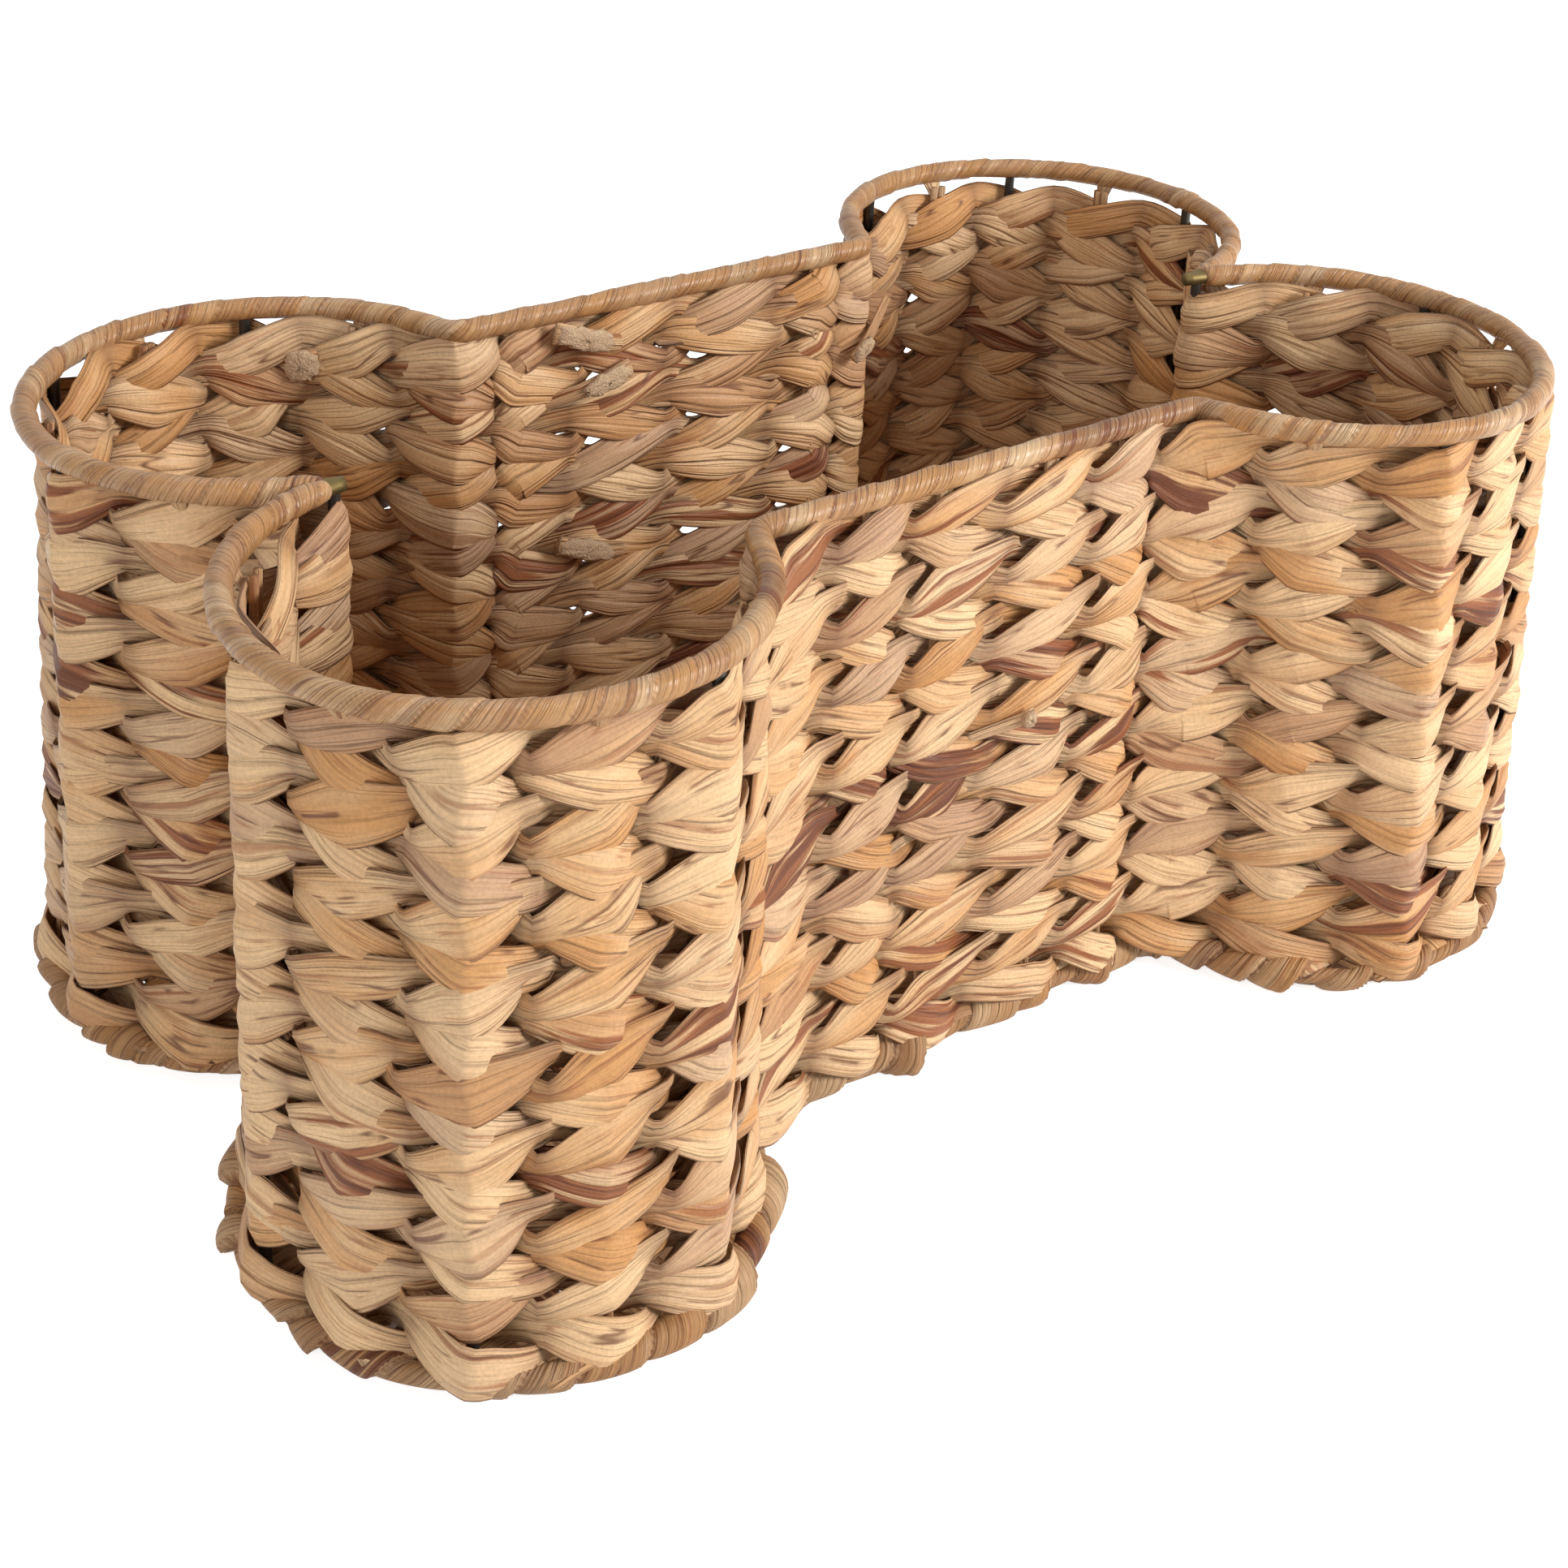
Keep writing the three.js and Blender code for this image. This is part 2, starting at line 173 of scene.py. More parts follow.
class Plan:
    """Places in plan: the rim line, and where posts and stakes stand at any height."""

    def __init__(self, scene):
        outline = self.outline = scene.basket_outline
        sizes = self.sizes = scene.basket_weave
        self.lobe = np.array([outline.lobe_x, outline.lobe_radius - outline.lobe_pinch])
        self.notch = outline.lobe_x + outline.notch_reach
        self.valley = outline.lobe_x - outline.lobe_radius - outline.valley_reach
        self.flank = self.tangent(self.valley, outline.waist, 1)
        self.leg = self.tangent(self.notch, 0, -1)
        self.grow_x = outline.overhang_end / (outline.lobe_x + outline.lobe_radius)
        self.grow_y = outline.overhang_side / (self.lobe[1] + outline.lobe_radius)
        self.top_z = outline.height - sizes.top_wrap
        self.base_z = sizes.base_wrap
        self.low = 2 * sizes.base_wrap
        self.high = outline.height - 2 * sizes.top_wrap

    def tangent(self, x, y, side):
        """The way from a point to where it grazes a lobe, in radians, and that place's bearing."""
        toward = self.lobe - (x, y)
        direction = math.atan2(toward[1], toward[0])
        direction += side * math.asin(self.outline.lobe_radius / math.hypot(*toward))
        return direction, math.degrees(direction) + side * 90

    def on_lobe(self, bearing, drawn_in=0.0):
        reach = self.outline.lobe_radius - drawn_in
        turn = math.radians(bearing)
        return self.lobe + reach * np.array([math.cos(turn), math.sin(turn)])

    def in_valley(self, turn):
        """A point on the bend between a side and its lobe, after the line has turned so far."""
        bend, waist = self.outline.valley_bend, self.outline.waist
        middle = np.array([self.valley - bend * math.tan(self.flank[0] / 2), waist + bend])
        return middle + bend * np.array([math.sin(turn), -math.cos(turn)])

    def level(self, z):
        """0 at the base rim and 1 at the top one."""
        return (z - self.base_z) / (self.top_z - self.base_z)

    def place(self, points, signs, z):
        grow = 1 + np.array([self.grow_x, self.grow_y]) * (1 - self.level(z))
        return np.asarray(points) * signs * grow

    def quarter(self):
        """Fine points from mid side to the notch tip, in the positive quadrant."""
        along = np.linspace(0, self.in_valley(0)[0], 30)[:-1]
        side = [np.array([x, self.outline.waist]) for x in along]
        bend = [self.in_valley(turn) for turn in np.linspace(0, self.flank[0], 7)]
        lobe = [self.on_lobe(bearing) for bearing in np.arange(self.flank[1], self.leg[1], -2.0)]
        leg = np.linspace(self.on_lobe(self.leg[1]), [self.notch, 0], 4)
        return np.array([*side, *bend, *lobe, *leg])

    def rim_line(self, side, z):
        """Fine points along one long side's rim, from the left notch tip to the right one."""
        left = self.place(self.quarter(), LOBES[side + "_left"], z)
        right = self.place(self.quarter(), LOBES[side + "_right"], z)
        return np.vstack([left[::-1], right[1:]])

    def stop(self, node, signs, foot, head=None):
        """An upright: its node or None, its kind, and a function from a height to its place."""
        foot = np.asarray(foot)
        lean = 0 if head is None else head - foot
        kind = "post" if node and "_post_" in node else "stake"
        return node, kind, lambda z: self.place(foot + lean * self.level(z), signs, z)

    def lobe_stops(self, name):
        signs, posts = LOBES[name], POST_BEARINGS[name]
        root, first = self.in_valley(self.flank[0] / 2), self.on_lobe(posts[0])
        away = np.array([-math.sin(self.flank[0]), math.cos(self.flank[0])])
        stops = [
            self.stop("valley_post_" + name, signs, root),
            self.stop(None, signs, (root + first) / 2 + FLANK_OUT * away),
        ]
        pulls = (self.outline.drawn_in_base, self.outline.drawn_in_top)
        for i, (bearing, following) in enumerate(zip(posts, [*posts[1:], self.leg[1]]), 1):
            foot, head = (self.on_lobe((bearing + following) / 2, pull) for pull in pulls)
            stops.append(self.stop(f"lobe_post_{name}_{i}", signs, self.on_lobe(bearing)))
            stops.append(self.stop(f"lobe_stake_{name}_{i}", signs, foot, head))
        return stops

    def side_stops(self, side):
        signs, waist = (1, -1 if side == "front" else 1), self.outline.waist
        places = enumerate(SIDE_STAKES[side], 1)
        return [self.stop(f"side_stake_{side}_{i}", signs, (x, waist)) for i, x in places]

    def uprights(self):
        """Every upright, anticlockwise from -X."""
        notch = (self.notch + self.outline.notch_setback, 0)
        return [
            self.stop("notch_post_left", (-1, 1), notch),
            *self.lobe_stops("front_left")[::-1],
            *self.side_stops("front"),
            *self.lobe_stops("front_right"),
            self.stop("notch_post_right", (1, 1), notch),
            *self.lobe_stops("back_right")[::-1],
            *self.side_stops("back")[::-1],
            *self.lobe_stops("back_left"),
        ]


# Meshes


class Skin:
    """Gathers swept strips into one mesh, with a UV map in metres that follows each strip."""

    # Values at each point: tone, greyness, stain, painted shade (joined on the top rim with its
    # darker stretches of strip) and nearness to an edge
    marks = ("tone", "grey", "stain", "painted_shade_and_dark_strip", "edge")

    def __init__(self):
        self.points, self.faces, self.uvs, self.values = [], [], [], []
        self.count = 0

    def strip(self, rings, uv, marks=0.0, edge=0.0, closed=False):
        """Adds a strip. rings is (stations, sides, 3), and marks is its first four values or those
        at each station or point. uv has one more side, and one more station if closed."""
        stations, sides = rings.shape[:2]
        ring = np.arange(stations if closed else stations - 1)[:, None]
        side = np.arange(sides)[None, :]
        after, beside = (ring + 1) % stations, (side + 1) % sides
        corners = [(ring, side), (ring, beside), (after, beside), (after, side)]
        quads = np.stack([r * sides + s for r, s in corners], -1).reshape(-1, 4)
        corners = [(ring, side), (ring, side + 1), (ring + 1, side + 1), (ring + 1, side)]
        spread = np.stack([uv[r, s] for r, s in corners], 2).reshape(-1, 4, 2)
        flat = rings.reshape(-1, 3)
        a, b, c, d = (flat[quads[:, k]] for k in range(4))
        volume = np.einsum("ij,ij->", np.cross(a, b), c) + np.einsum("ij,ij->", np.cross(a, c), d)
        caps = []
        if not closed:
            caps = [np.arange(sides)[::-1], np.arange(sides) + (stations - 1) * sides]
        if volume < 0:
            quads, spread = quads[:, ::-1], spread[:, ::-1]
            caps = [cap[::-1] for cap in caps]
        self.points.append(flat)
        self.faces += (quads + self.count).tolist()
        self.uvs.append(spread.reshape(-1, 2))
        for cap in caps:
            self.faces.append((cap + self.count).tolist())
            self.uvs.append(uv[cap // sides, cap % sides])
        values = np.empty((stations, sides, len(self.marks)))
        marks = np.asarray(marks)
        values[..., :-1] = marks[:, None] if marks.ndim == 2 else marks
        values[..., -1] = edge
        self.values.append(values.reshape(-1, len(self.marks)))
        self.count += len(flat)

    def build(self, name, material, slot, *nodes):
        """The finished piece, riding on the frame in place of the nodes named."""
        mesh = bpy.data.meshes.new(name)
        mesh.from_pydata(np.vstack(self.points).tolist(), [], self.faces)
        layer = mesh.uv_layers.new(name="strand")
        layer.data.foreach_set("uv", np.vstack(self.uvs).astype(np.float32).ravel())
        values = np.vstack(self.values).astype(np.float32)
        for k, mark in enumerate(self.marks):
            mesh.attributes.new(mark, "FLOAT", "POINT").data.foreach_set("value", values[:, k])
        mesh.polygons.foreach_set("use_smooth", np.ones(len(mesh.polygons), bool))
        mesh.update()
        piece = bpy.data.objects.new(name, mesh)
        bpy.context.scene.collection.objects.link(piece)
        mesh.materials.append(material)
        settle(piece, slot, *nodes)


def settle(piece, slot, *nodes):
    """Puts a piece on the frame in place of the nodes named. Its slot is not used."""
    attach(piece, "root")
    if nodes:
        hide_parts(*nodes)


def unit(vectors):
    return vectors / np.linalg.norm(vectors, axis=-1, keepdims=True)


def directions(line, closed=False):
    """Unit directions along a line of points."""
    if closed:
        return unit(np.roll(line, -1, 0) - np.roll(line, 1, 0))
    return unit(np.gradient(line, axis=0))


def distances(line, closed=False):
    """Running length along a line, with one more entry when it closes on itself."""
    ends = np.vstack([line, line[:1]]) if closed else line
    steps = np.linalg.norm(np.diff(ends, axis=0), axis=1)
    return np.concatenate([[0.0], np.cumsum(steps)])


def resample(line, spacing):
    run = distances(line)
    at = np.linspace(0, run[-1], max(2, int(round(run[-1] / spacing)) + 1))
    return np.stack([np.interp(at, run, line[:, k]) for k in range(line.shape[1])], -1)


def raised(line, z):
    return np.column_stack([line, np.full(len(line), z)])


def turns(sides):
    """Angles of a section's corners."""
    return np.arange(sides) * 2 * math.pi / sides


def girth(sides, width, start=0.0):
    """Places round a section, in metres, with the first corner again at the end."""
    return start + np.arange(sides + 1) / sides * width


def grid(along, around):
    """UVs of a strip, from its running length and its places round the section."""
    return np.stack(np.broadcast_arrays(along[:, None], around[None, :]), -1)


def stalk_uv(rng, line, sides, width, stalk=30.0):
    """UVs of a strip from somewhere on a stalk so long that no two strips look alike."""
    around = girth(sides, width, rng.uniform(0, 9))
    return grid(distances(line) + rng.uniform(0, stalk), around)


def sections(line, out, width, height, sides, across=None):
    """Oval rings round a line: the width lies across it, and the height along its outward side."""
    along = directions(line)
    across = unit(np.cross(out, along)) if across is None else np.broadcast_to(across, line.shape)
    out = unit(np.cross(along, across))
    flat = np.reshape(width, (-1, 1, 1)) / 2 * np.cos(turns(sides))[:, None]
    high = np.reshape(height, (-1, 1, 1)) / 2 * np.sin(turns(sides))[:, None]
    return line[:, None] + flat * across[:, None] + high * out[:, None]


# Materials


MATH, FIT, MIX = "ShaderNodeMath", "ShaderNodeMapRange", "ShaderNodeMix"
NOISE, BUMP, SHADER = "ShaderNodeTexNoise", "ShaderNodeBump", "ShaderNodeBsdfPrincipled"
PLUS, TIMES, LARGER = ({"operation": name} for name in ("ADD", "MULTIPLY", "MAXIMUM"))
SMOOTH, COLOUR = {"interpolation_type": "SMOOTHSTEP"}, {"data_type": "RGBA"}


def add(tree, kind, inputs=(), **settings):
    """Adds a node with its settings; its inputs, by name or in order, are set or linked."""
    node = tree.nodes.new(kind)
    for name, value in settings.items():
        setattr(node, name, value)
    in_order = [socket for socket in node.inputs if socket.enabled]
    for key, value in inputs.items() if isinstance(inputs, dict) else enumerate(inputs):
        socket = node.inputs[key] if isinstance(key, str) else in_order[key]
        if isinstance(value, bpy.types.Node):
            value = next(output for output in value.outputs if output.enabled)
        if isinstance(value, bpy.types.NodeSocket):
            tree.links.new(value, socket)
        else:
            socket.default_value = (*value, 1.0) if socket.type == "RGBA" else value
    return node


def new_material(name):
    """An empty material, and the function that adds a node to it."""
    material = bpy.data.materials.new(name)
    material.use_nodes = True
    material.node_tree.nodes.clear()
    return material, partial(add, material.node_tree)


def fibre(name, thread, pleat, roughness, depth, shade):
    """Split plant stalk: fine threads, crisp pleats that gather at the ends, stains and grain."""
    colours = bpy.context.scene.basket_fibre
    material, put = new_material(name)
    uv = put("ShaderNodeUVMap", uv_map="strand")
    tone, grey, stain, painted_shade_and_dark_strip, edge = (
        put("ShaderNodeAttribute", attribute_name=mark).outputs["Fac"] for mark in Skin.marks
    )
    # Each pattern's length along the strand and width across it, both in metres, its detail, and a
    # shift that keeps it unlike the others
    patterns = {
        "threads": (0.030, thread, 3.0, 0.0),
        "wide pleats": (0.120, pleat, 1.0, 7.3),
        "narrow pleats": (0.080, 0.4 * pleat, 1.0, 13.1),
        "patches": (0.045, 0.010, 2.0, 21.7),
        "breaks": (0.016, 0.006, 1.0, 31.9),
        "grain": (0.0011, 0.0008, 2.0, 43.3),
        "stain streaks": (0.080, 0.0036, 4.0, 53.9),
        "dark streaks": (0.070, 0.0016, 4.0, 61.7),
    }
    noise = {}
    for pattern, (run, width, detail, shift) in patterns.items():
        inputs = {"Vector": uv, "Scale": (1 / run, 1 / width, 1), "Location": (shift,) * 3}
        place = put("ShaderNodeMapping", inputs)
        noise[pattern] = put(NOISE, {"Vector": place, "Scale": 1, "Detail": detail})
    threads, grain, patches = noise["threads"], noise["grain"], noise["patches"]
    # A pleat is where its pattern passes through its middle value
    wide, narrow = (
        put(MATH, [put(MATH, [noise[pleats], 0.5], operation="SUBTRACT")], operation="ABSOLUTE")
        for pleats in ("wide pleats", "narrow pleats")
    )

    # Straw to tan from strand to strand and in patches, greyed where it has weathered
    tone = put(MATH, [tone, put(FIT, [patches, 0.3, 0.7, -0.30, 0.30], **SMOOTH)], **PLUS)
    base = put(MIX, [put(FIT, [tone], **SMOOTH), colours.straw, colours.tan], **COLOUR)
    greyed = put(MATH, [grey, put(FIT, [patches, 0.25, 0.6, 0.35, 1.0], **SMOOTH)], **TIMES)
    base = put(MIX, [greyed, base, colours.grey], **COLOUR)

    # Red-brown stains that break up into streaks, with darker lines in them
    cover = put(FIT, [noise["stain streaks"], 0.3, 0.7], **SMOOTH)
    cover = put(FIT, [put(MATH, [stain, cover], **PLUS), 0.86, 1.16], **SMOOTH)
    base = put(MIX, [put(MATH, [cover, 0.92], **TIMES), base, colours.russet], **COLOUR)
    dark = put(MATH, [put(MATH, [stain, 0.50], **TIMES), noise["dark streaks"]], **PLUS)
    dark = put(MATH, [cover, put(FIT, [dark, 0.66, 0.92], **SMOOTH)], **TIMES)
    base = put(MIX, [put(MATH, [dark, 0.80], **TIMES), base, colours.bark], **COLOUR)

    # Lighter and darker threads and grain over all of it
    light = put(FIT, [threads, 0.25, 0.75, 0.86, 1.09], **SMOOTH)
    light = put(MATH, [light, put(FIT, [grain, 0.3, 0.7, -0.07, 0.07], **SMOOTH)], **PLUS)
    light = put("ShaderNodeCombineColor", [put(MATH, [light, shade], **TIMES)] * 3)
    base = put(MIX, [1.0, base, light], blend_type="MULTIPLY", **COLOUR)

    # Painted shade in the grooves of the pleats, broken into short lines, and darker edges
    broken = put(FIT, [noise["breaks"], 0.46, 0.58], **SMOOTH)
    crease_shade = put(FIT, [wide, 0.0, 0.020, 0.80, 0.0], **SMOOTH)
    fine_crease_shade = put(FIT, [narrow, 0.0, 0.022, 0.55, 0.0], **SMOOTH)
    for where, share, tint in (
        (crease_shade, broken, colours.bark),
        (fine_crease_shade, broken, colours.russet),
        (edge, 0.34, colours.russet),
        # painted shade where strands cross and where turns of wrapping lap, joined on the top rim
        # with its darker stretches of strip
        (painted_shade_and_dark_strip, 0.52, colours.bark),
    ):
        base = put(MIX, [put(MATH, [where, share], **TIMES), base, tint], **COLOUR)

    height = put(FIT, [wide, 0.0, 0.08, 0.0, 0.9], **SMOOTH)
    for part in (
        put(FIT, [narrow, 0.0, 0.07, 0.0, 0.30], **SMOOTH),
        put(MATH, [threads, 0.28], **TIMES),
        put(MATH, [grain, 0.10], **TIMES),
    ):
        height = put(MATH, [height, part], **PLUS)
    rough = put(FIT, [threads, 0.2, 0.8, roughness - 0.1, roughness + 0.12], **SMOOTH)
    bump = put(BUMP, {"Height": height, "Distance": depth, "Strength": 1.0})
    inputs = {"Base Color": base, "Roughness": rough, "Specular IOR Level": 0.4, "Normal": bump}
    put("ShaderNodeOutputMaterial", [put(SHADER, inputs)])
    return material


def metal(name, tint, roughness, grain):
    """Drawn steel wire: fine scratches, and duller and darker patches about 12 mm wide."""
    material, put = new_material(name)
    place = put("ShaderNodeTexCoord").outputs["Object"]
    patches = put(NOISE, {"Vector": place, "Scale": 1 / 0.012, "Detail": 4.0})
    scratches = put(NOISE, {"Vector": place, "Scale": 1 / grain, "Detail": 2.0})
    darker = tuple(0.6 * part for part in tint)
    inputs = {
        "Base Color": put(MIX, [patches, tint, darker], **COLOUR),
        "Metallic": 1.0,
        "Roughness": put(FIT, [patches, 0.3, 0.7, roughness - 0.08, roughness + 0.15]),
        "Normal": put(BUMP, {"Height": scratches, "Distance": 0.00005, "Strength": 0.4}),
    }
    put("ShaderNodeOutputMaterial", [put(SHADER, inputs)])
    return material


def spongy(name, tint, shadow, cell):
    """Dried pith: pale, matt and full of small hollow cells, in clumps four cells wide."""
    material, put = new_material(name)
    place = put("ShaderNodeTexCoord").outputs["Object"]
    cells = put("ShaderNodeTexVoronoi", {"Vector": place, "Scale": 1 / cell})
    clumps = put(NOISE, {"Vector": place, "Scale": 1 / (4 * cell), "Detail": 3.0})
    hollow = put(MATH, [cells, clumps], **TIMES)
    inputs = {
        "Base Color": put(MIX, [put(FIT, [hollow, 0.05, 0.40, 1.0, 0.0]), tint, shadow], **COLOUR),
        "Roughness": 0.9,
        "Specular IOR Level": 0.2,
        "Normal": put(BUMP, {"Height": hollow, "Distance": 0.0008, "Strength": 1.0}),
    }
    put("ShaderNodeOutputMaterial", [put(SHADER, inputs)])
    return material


def finish_named(name):
    """The material of that name, made the first time that it is asked for."""
    if name in bpy.data.materials:
        return bpy.data.materials[name]
    metals, fibres = bpy.context.scene.basket_metal, bpy.context.scene.basket_fibre
    finishes = {
        # Thin dark coating over drawn wire: a dull grey with a soft shine
        "coated_steel_post": lambda: metal(name, metals.post, roughness=0.5, grain=0.0008),
        # Brass-coloured plating, a little tarnished towards olive
        "brass_plated_rod": lambda: metal(name, metals.rod, roughness=0.55, grain=0.0006),
        # Threads 0.7 mm apart and pleats 5 mm apart run along each strand, matt with a waxy shine
        "twined_water_hyacinth": lambda: fibre(
            name, thread=0.0007, pleat=0.0050, roughness=0.56, depth=0.0008, shade=1.0
        ),
        # A split strip wound tight: fine glossy threads, drawn 0.5 mm apart so that they show
        "wound_fibre_strip": lambda: fibre(
            name, thread=0.0005, pleat=0.0024, roughness=0.34, depth=0.00035, shade=0.80
        ),
        # The same stalk folded wide and flat round the base, rougher and duller
        "folded_fibre_strip": lambda: fibre(
            name, thread=0.0008, pleat=0.0040, roughness=0.58, depth=0.0007, shade=0.66
        ),
        # Thin stalks, round and dry, that stand as stakes
        "fibre_cord": lambda: fibre(
            name, thread=0.0006, pleat=0.0016, roughness=0.62, depth=0.0004, shade=0.88
        ),
        # The stalk's soft core where it is cut: pale, dull, with cells drawn 0.8 mm wide to show
        "dried_pith": lambda: spongy(name, fibres.pith, fibres.grey, cell=0.0008),
    }
    return finishes[name]()


# The woven wall


# Walls beyond the first distance along X belong to a lobe. Those of the loosest lobe also lie
# beyond the second one along Y.
LOBE_FROM, BACK_LOBE_FROM = 0.11, 0.05
STAKE_HALF = 0.0019  # half a stake's thickness
HANG = (1.0, 0.55, 0.2)  # how much the rows hang on the lobes, from the top one down
SIDE_HANG = 0.2  # how much of that they hang on the long sides
BASE_DROPS = (0.0042, 0.0008)  # how far the rows sit down on the base rim, from the lowest one up
BASE_BULGE = 0.0028  # how far the lowest row bulges out over the base wrapping
# A corner that turns in by more than this angle is a valley, and the crossings beside it keep away
# from it by this share of a span
VALLEY_TURN, VALLEY_SHIFT = -0.35, 0.13
MOST_SLACK = 0.0085  # the furthest that a strand leaves an upright across the hollow of a bend
GAP_AT, GAP_HALF = 0.20, 0.18  # middle and half length of a gap, as shares of a span
# Chance of a gap at a post, at a stake whose wall shows its inside in the photograph, and at
# another one; and the way in which the walls face that show their inside
GAP_CHANCES, INSIDE_SHOWN = (0.08, 0.45, 0.22), (0.6, 0.8)
# Width of a strand over a stake on a lobe, over any upright in the top row, and over a post and a
# stake in the lowest row, as shares of the usual one
LOBE_LEAF, TOP_LEAF, LOWEST_POST_LEAF, LOWEST_STAKE_LEAF = 1.12, 0.92, 0.84, 1.05
# Least and most uprights that one stalk passes, the share of stained stalks, and how much the tone
# changes along them
STALK_PASSES, STAINED, TONE_SPREAD = (2, 5), 0.12, 0.14
# How the strands differ from one upright to the next. Least and most width and climb, as shares of
# the usual ones, number of ripples across a strand, and where these begin:
WIDTHS, CLIMBS, RIPPLES, RIPPLE_STARTS = (0.84, 1.22), (0.85, 1.15), (1.4, 2.8), (0, 6.3)
# Spread of the crossings, along a span as a share of it and in and out, of the height and the roll:
SHIFT_SPREAD, DRIFT_SPREAD, HEIGHT_SPREAD, ROLL_SPREAD = 0.045, 0.0009, 0.0008, 0.05
RIPPLE_DEPTH, CURL_DEPTH = 0.00035, 0.0008


def heading(line):
    """Outward bearing of each side of a closed polygon, and its turn at each corner."""
    side = np.roll(line, -1, 0) - line
    bearing = np.arctan2(-side[:, 0], side[:, 1])
    turn = bearing - np.roll(bearing, 1)
    return bearing, (turn + math.pi) % (2 * math.pi) - math.pi


def strand_marks(rng, count):
    """Tone, greyness and stain of one strand at each upright, in runs of joined stalks."""
    tone, grey, stain = np.zeros(count), np.zeros(count), np.zeros(count)
    at = 0
    while at < count:
        run = int(rng.integers(*STALK_PASSES, endpoint=True))
        stalk = slice(at, at + run)
        tone[stalk] = rng.beta(1.3, 1.7)
        grey[stalk] = rng.random() ** 3 * 0.75
        stained = rng.random() < STAINED
        stain[stalk] = rng.uniform(0.30, 0.74) if stained else 0.08 * rng.random()
        at += run
    tone += rng.normal(0, TONE_SPREAD, count)
    return np.column_stack([np.clip(tone, 0, 1), grey, stain])


def partings(index, posts, inward):
    """Where a row parts from the one above, just after and just before each upright."""
    rng = np.random.default_rng(500 + index)
    at_post, inside, outside = GAP_CHANCES
    chance = np.where(posts, at_post, np.where(inward, inside, outside))
    opens = rng.random(len(posts)) < chance
    before = inward ^ (index % 2 == 1)
    return opens & ~before, opens & before


def bell(share):
    """1 in the middle of a gap and 0 past its ends."""
    return np.clip(1 - ((share - GAP_AT) / GAP_HALF) ** 2, 0, 1)


class Course:
    """The way of one row round the uprights, in steps that lie closer together near them."""

    steps, crowding, rise = 20, 0.10, 0.008

    def __init__(self, plan, index, rng):
        sizes, stops = plan.sizes, plan.uprights()
        count = self.count = len(stops)
        self.lowest, self.topmost = index == 0, index == sizes.rows - 1
        self.pitch = (plan.high - plan.low) / sizes.rows
        z = self.z = plan.low + (index + 0.5) * self.pitch
        here = np.array([at(z) for _, _, at in stops])
        ends = np.array([(at(z - self.rise), at(z + self.rise)) for _, _, at in stops])
        lean = (ends[:, 1] - ends[:, 0]) / (2 * self.rise)
        self.bearing, self.turn = heading(here)
        spans = np.linalg.norm(np.roll(here, -1, 0) - here, axis=1)
        self.post = np.array([kind == "post" for _, kind, _ in stops])
        self.on_lobe = np.abs(here[:, 0]) > LOBE_FROM
        loosest = (here[:, 0] > LOBE_FROM) & (here[:, 1] > BACK_LOBE_FROM)
        from_top = sizes.rows - 1 - index
        hang = HANG[from_top] if from_top < len(HANG) else 0.0
        sag = hang * np.where(loosest, sizes.back_sag, sizes.top_sag)
        self.sag = np.where(self.on_lobe, sag, SIDE_HANG * sag)
        self.sag += BASE_DROPS[index] if index < len(BASE_DROPS) else 0.0

        # i is the upright behind each step, j the next one and t the share of the way between
        self.i = i = np.repeat(np.arange(count), self.steps)
        self.j = j = (i + 1) % count
        t = np.tile(np.arange(self.steps) / self.steps, count)
        self.t = t = t - self.crowding * np.sin(2 * math.pi * t)
        self.ease = t * t * (3 - 2 * t)
        valley = np.where(self.turn < VALLEY_TURN, VALLEY_SHIFT, 0.0)
        shift = rng.normal(0, SHIFT_SPREAD, count) + np.roll(valley, -1) - valley
        self.phase = i + t + shift[i] * np.sin(math.pi * t)
        self.span = spans[i]
        self.foot = here[i] * (1 - t)[:, None] + here[j] * t[:, None]
        self.tilt = lean[i] * (1 - t)[:, None] + lean[j] * t[:, None]

        half_span = (spans + np.roll(spans, 1)) / 4
        slack = sizes.pull * half_span * np.sin(np.abs(self.turn) / 2)
        self.slack = np.minimum(slack, MOST_SLACK)
        middle = self.bearing - self.turn / 2
        self.split = np.column_stack([np.cos(middle), np.sin(middle)])

        inward = self.split @ INSIDE_SHOWN > 0
        self.seen_inside = np.where(t < 0.5, inward[i], inward[j])
        self.parted = []
        for boundary in (index, index - 1):
            after, before = partings(boundary, self.post, inward)
            shut = boundary < 0 or self.topmost and boundary == index
            gap = np.maximum(after[i] * bell(t), before[j] * bell(1 - t))
            self.parted.append(gap * (not shut))

    def between(self, values):
        """Eases values at the uprights from each one to the next."""
        ease = self.ease[:, None] if np.ndim(values) == 2 else self.ease
        return values[self.i] * (1 - ease) + values[self.j] * ease

    def near(self, reach):
        """How near each step is to the upright behind it and to the next one, from 0 to 1."""
        back, ahead = (np.minimum(reach[k], 0.5 * self.span) for k in (self.i, self.j))
        behind = 1 - self.t * self.span / back
        return np.clip(behind, 0, 1), np.clip(1 - (1 - self.t) * self.span / ahead, 0, 1)


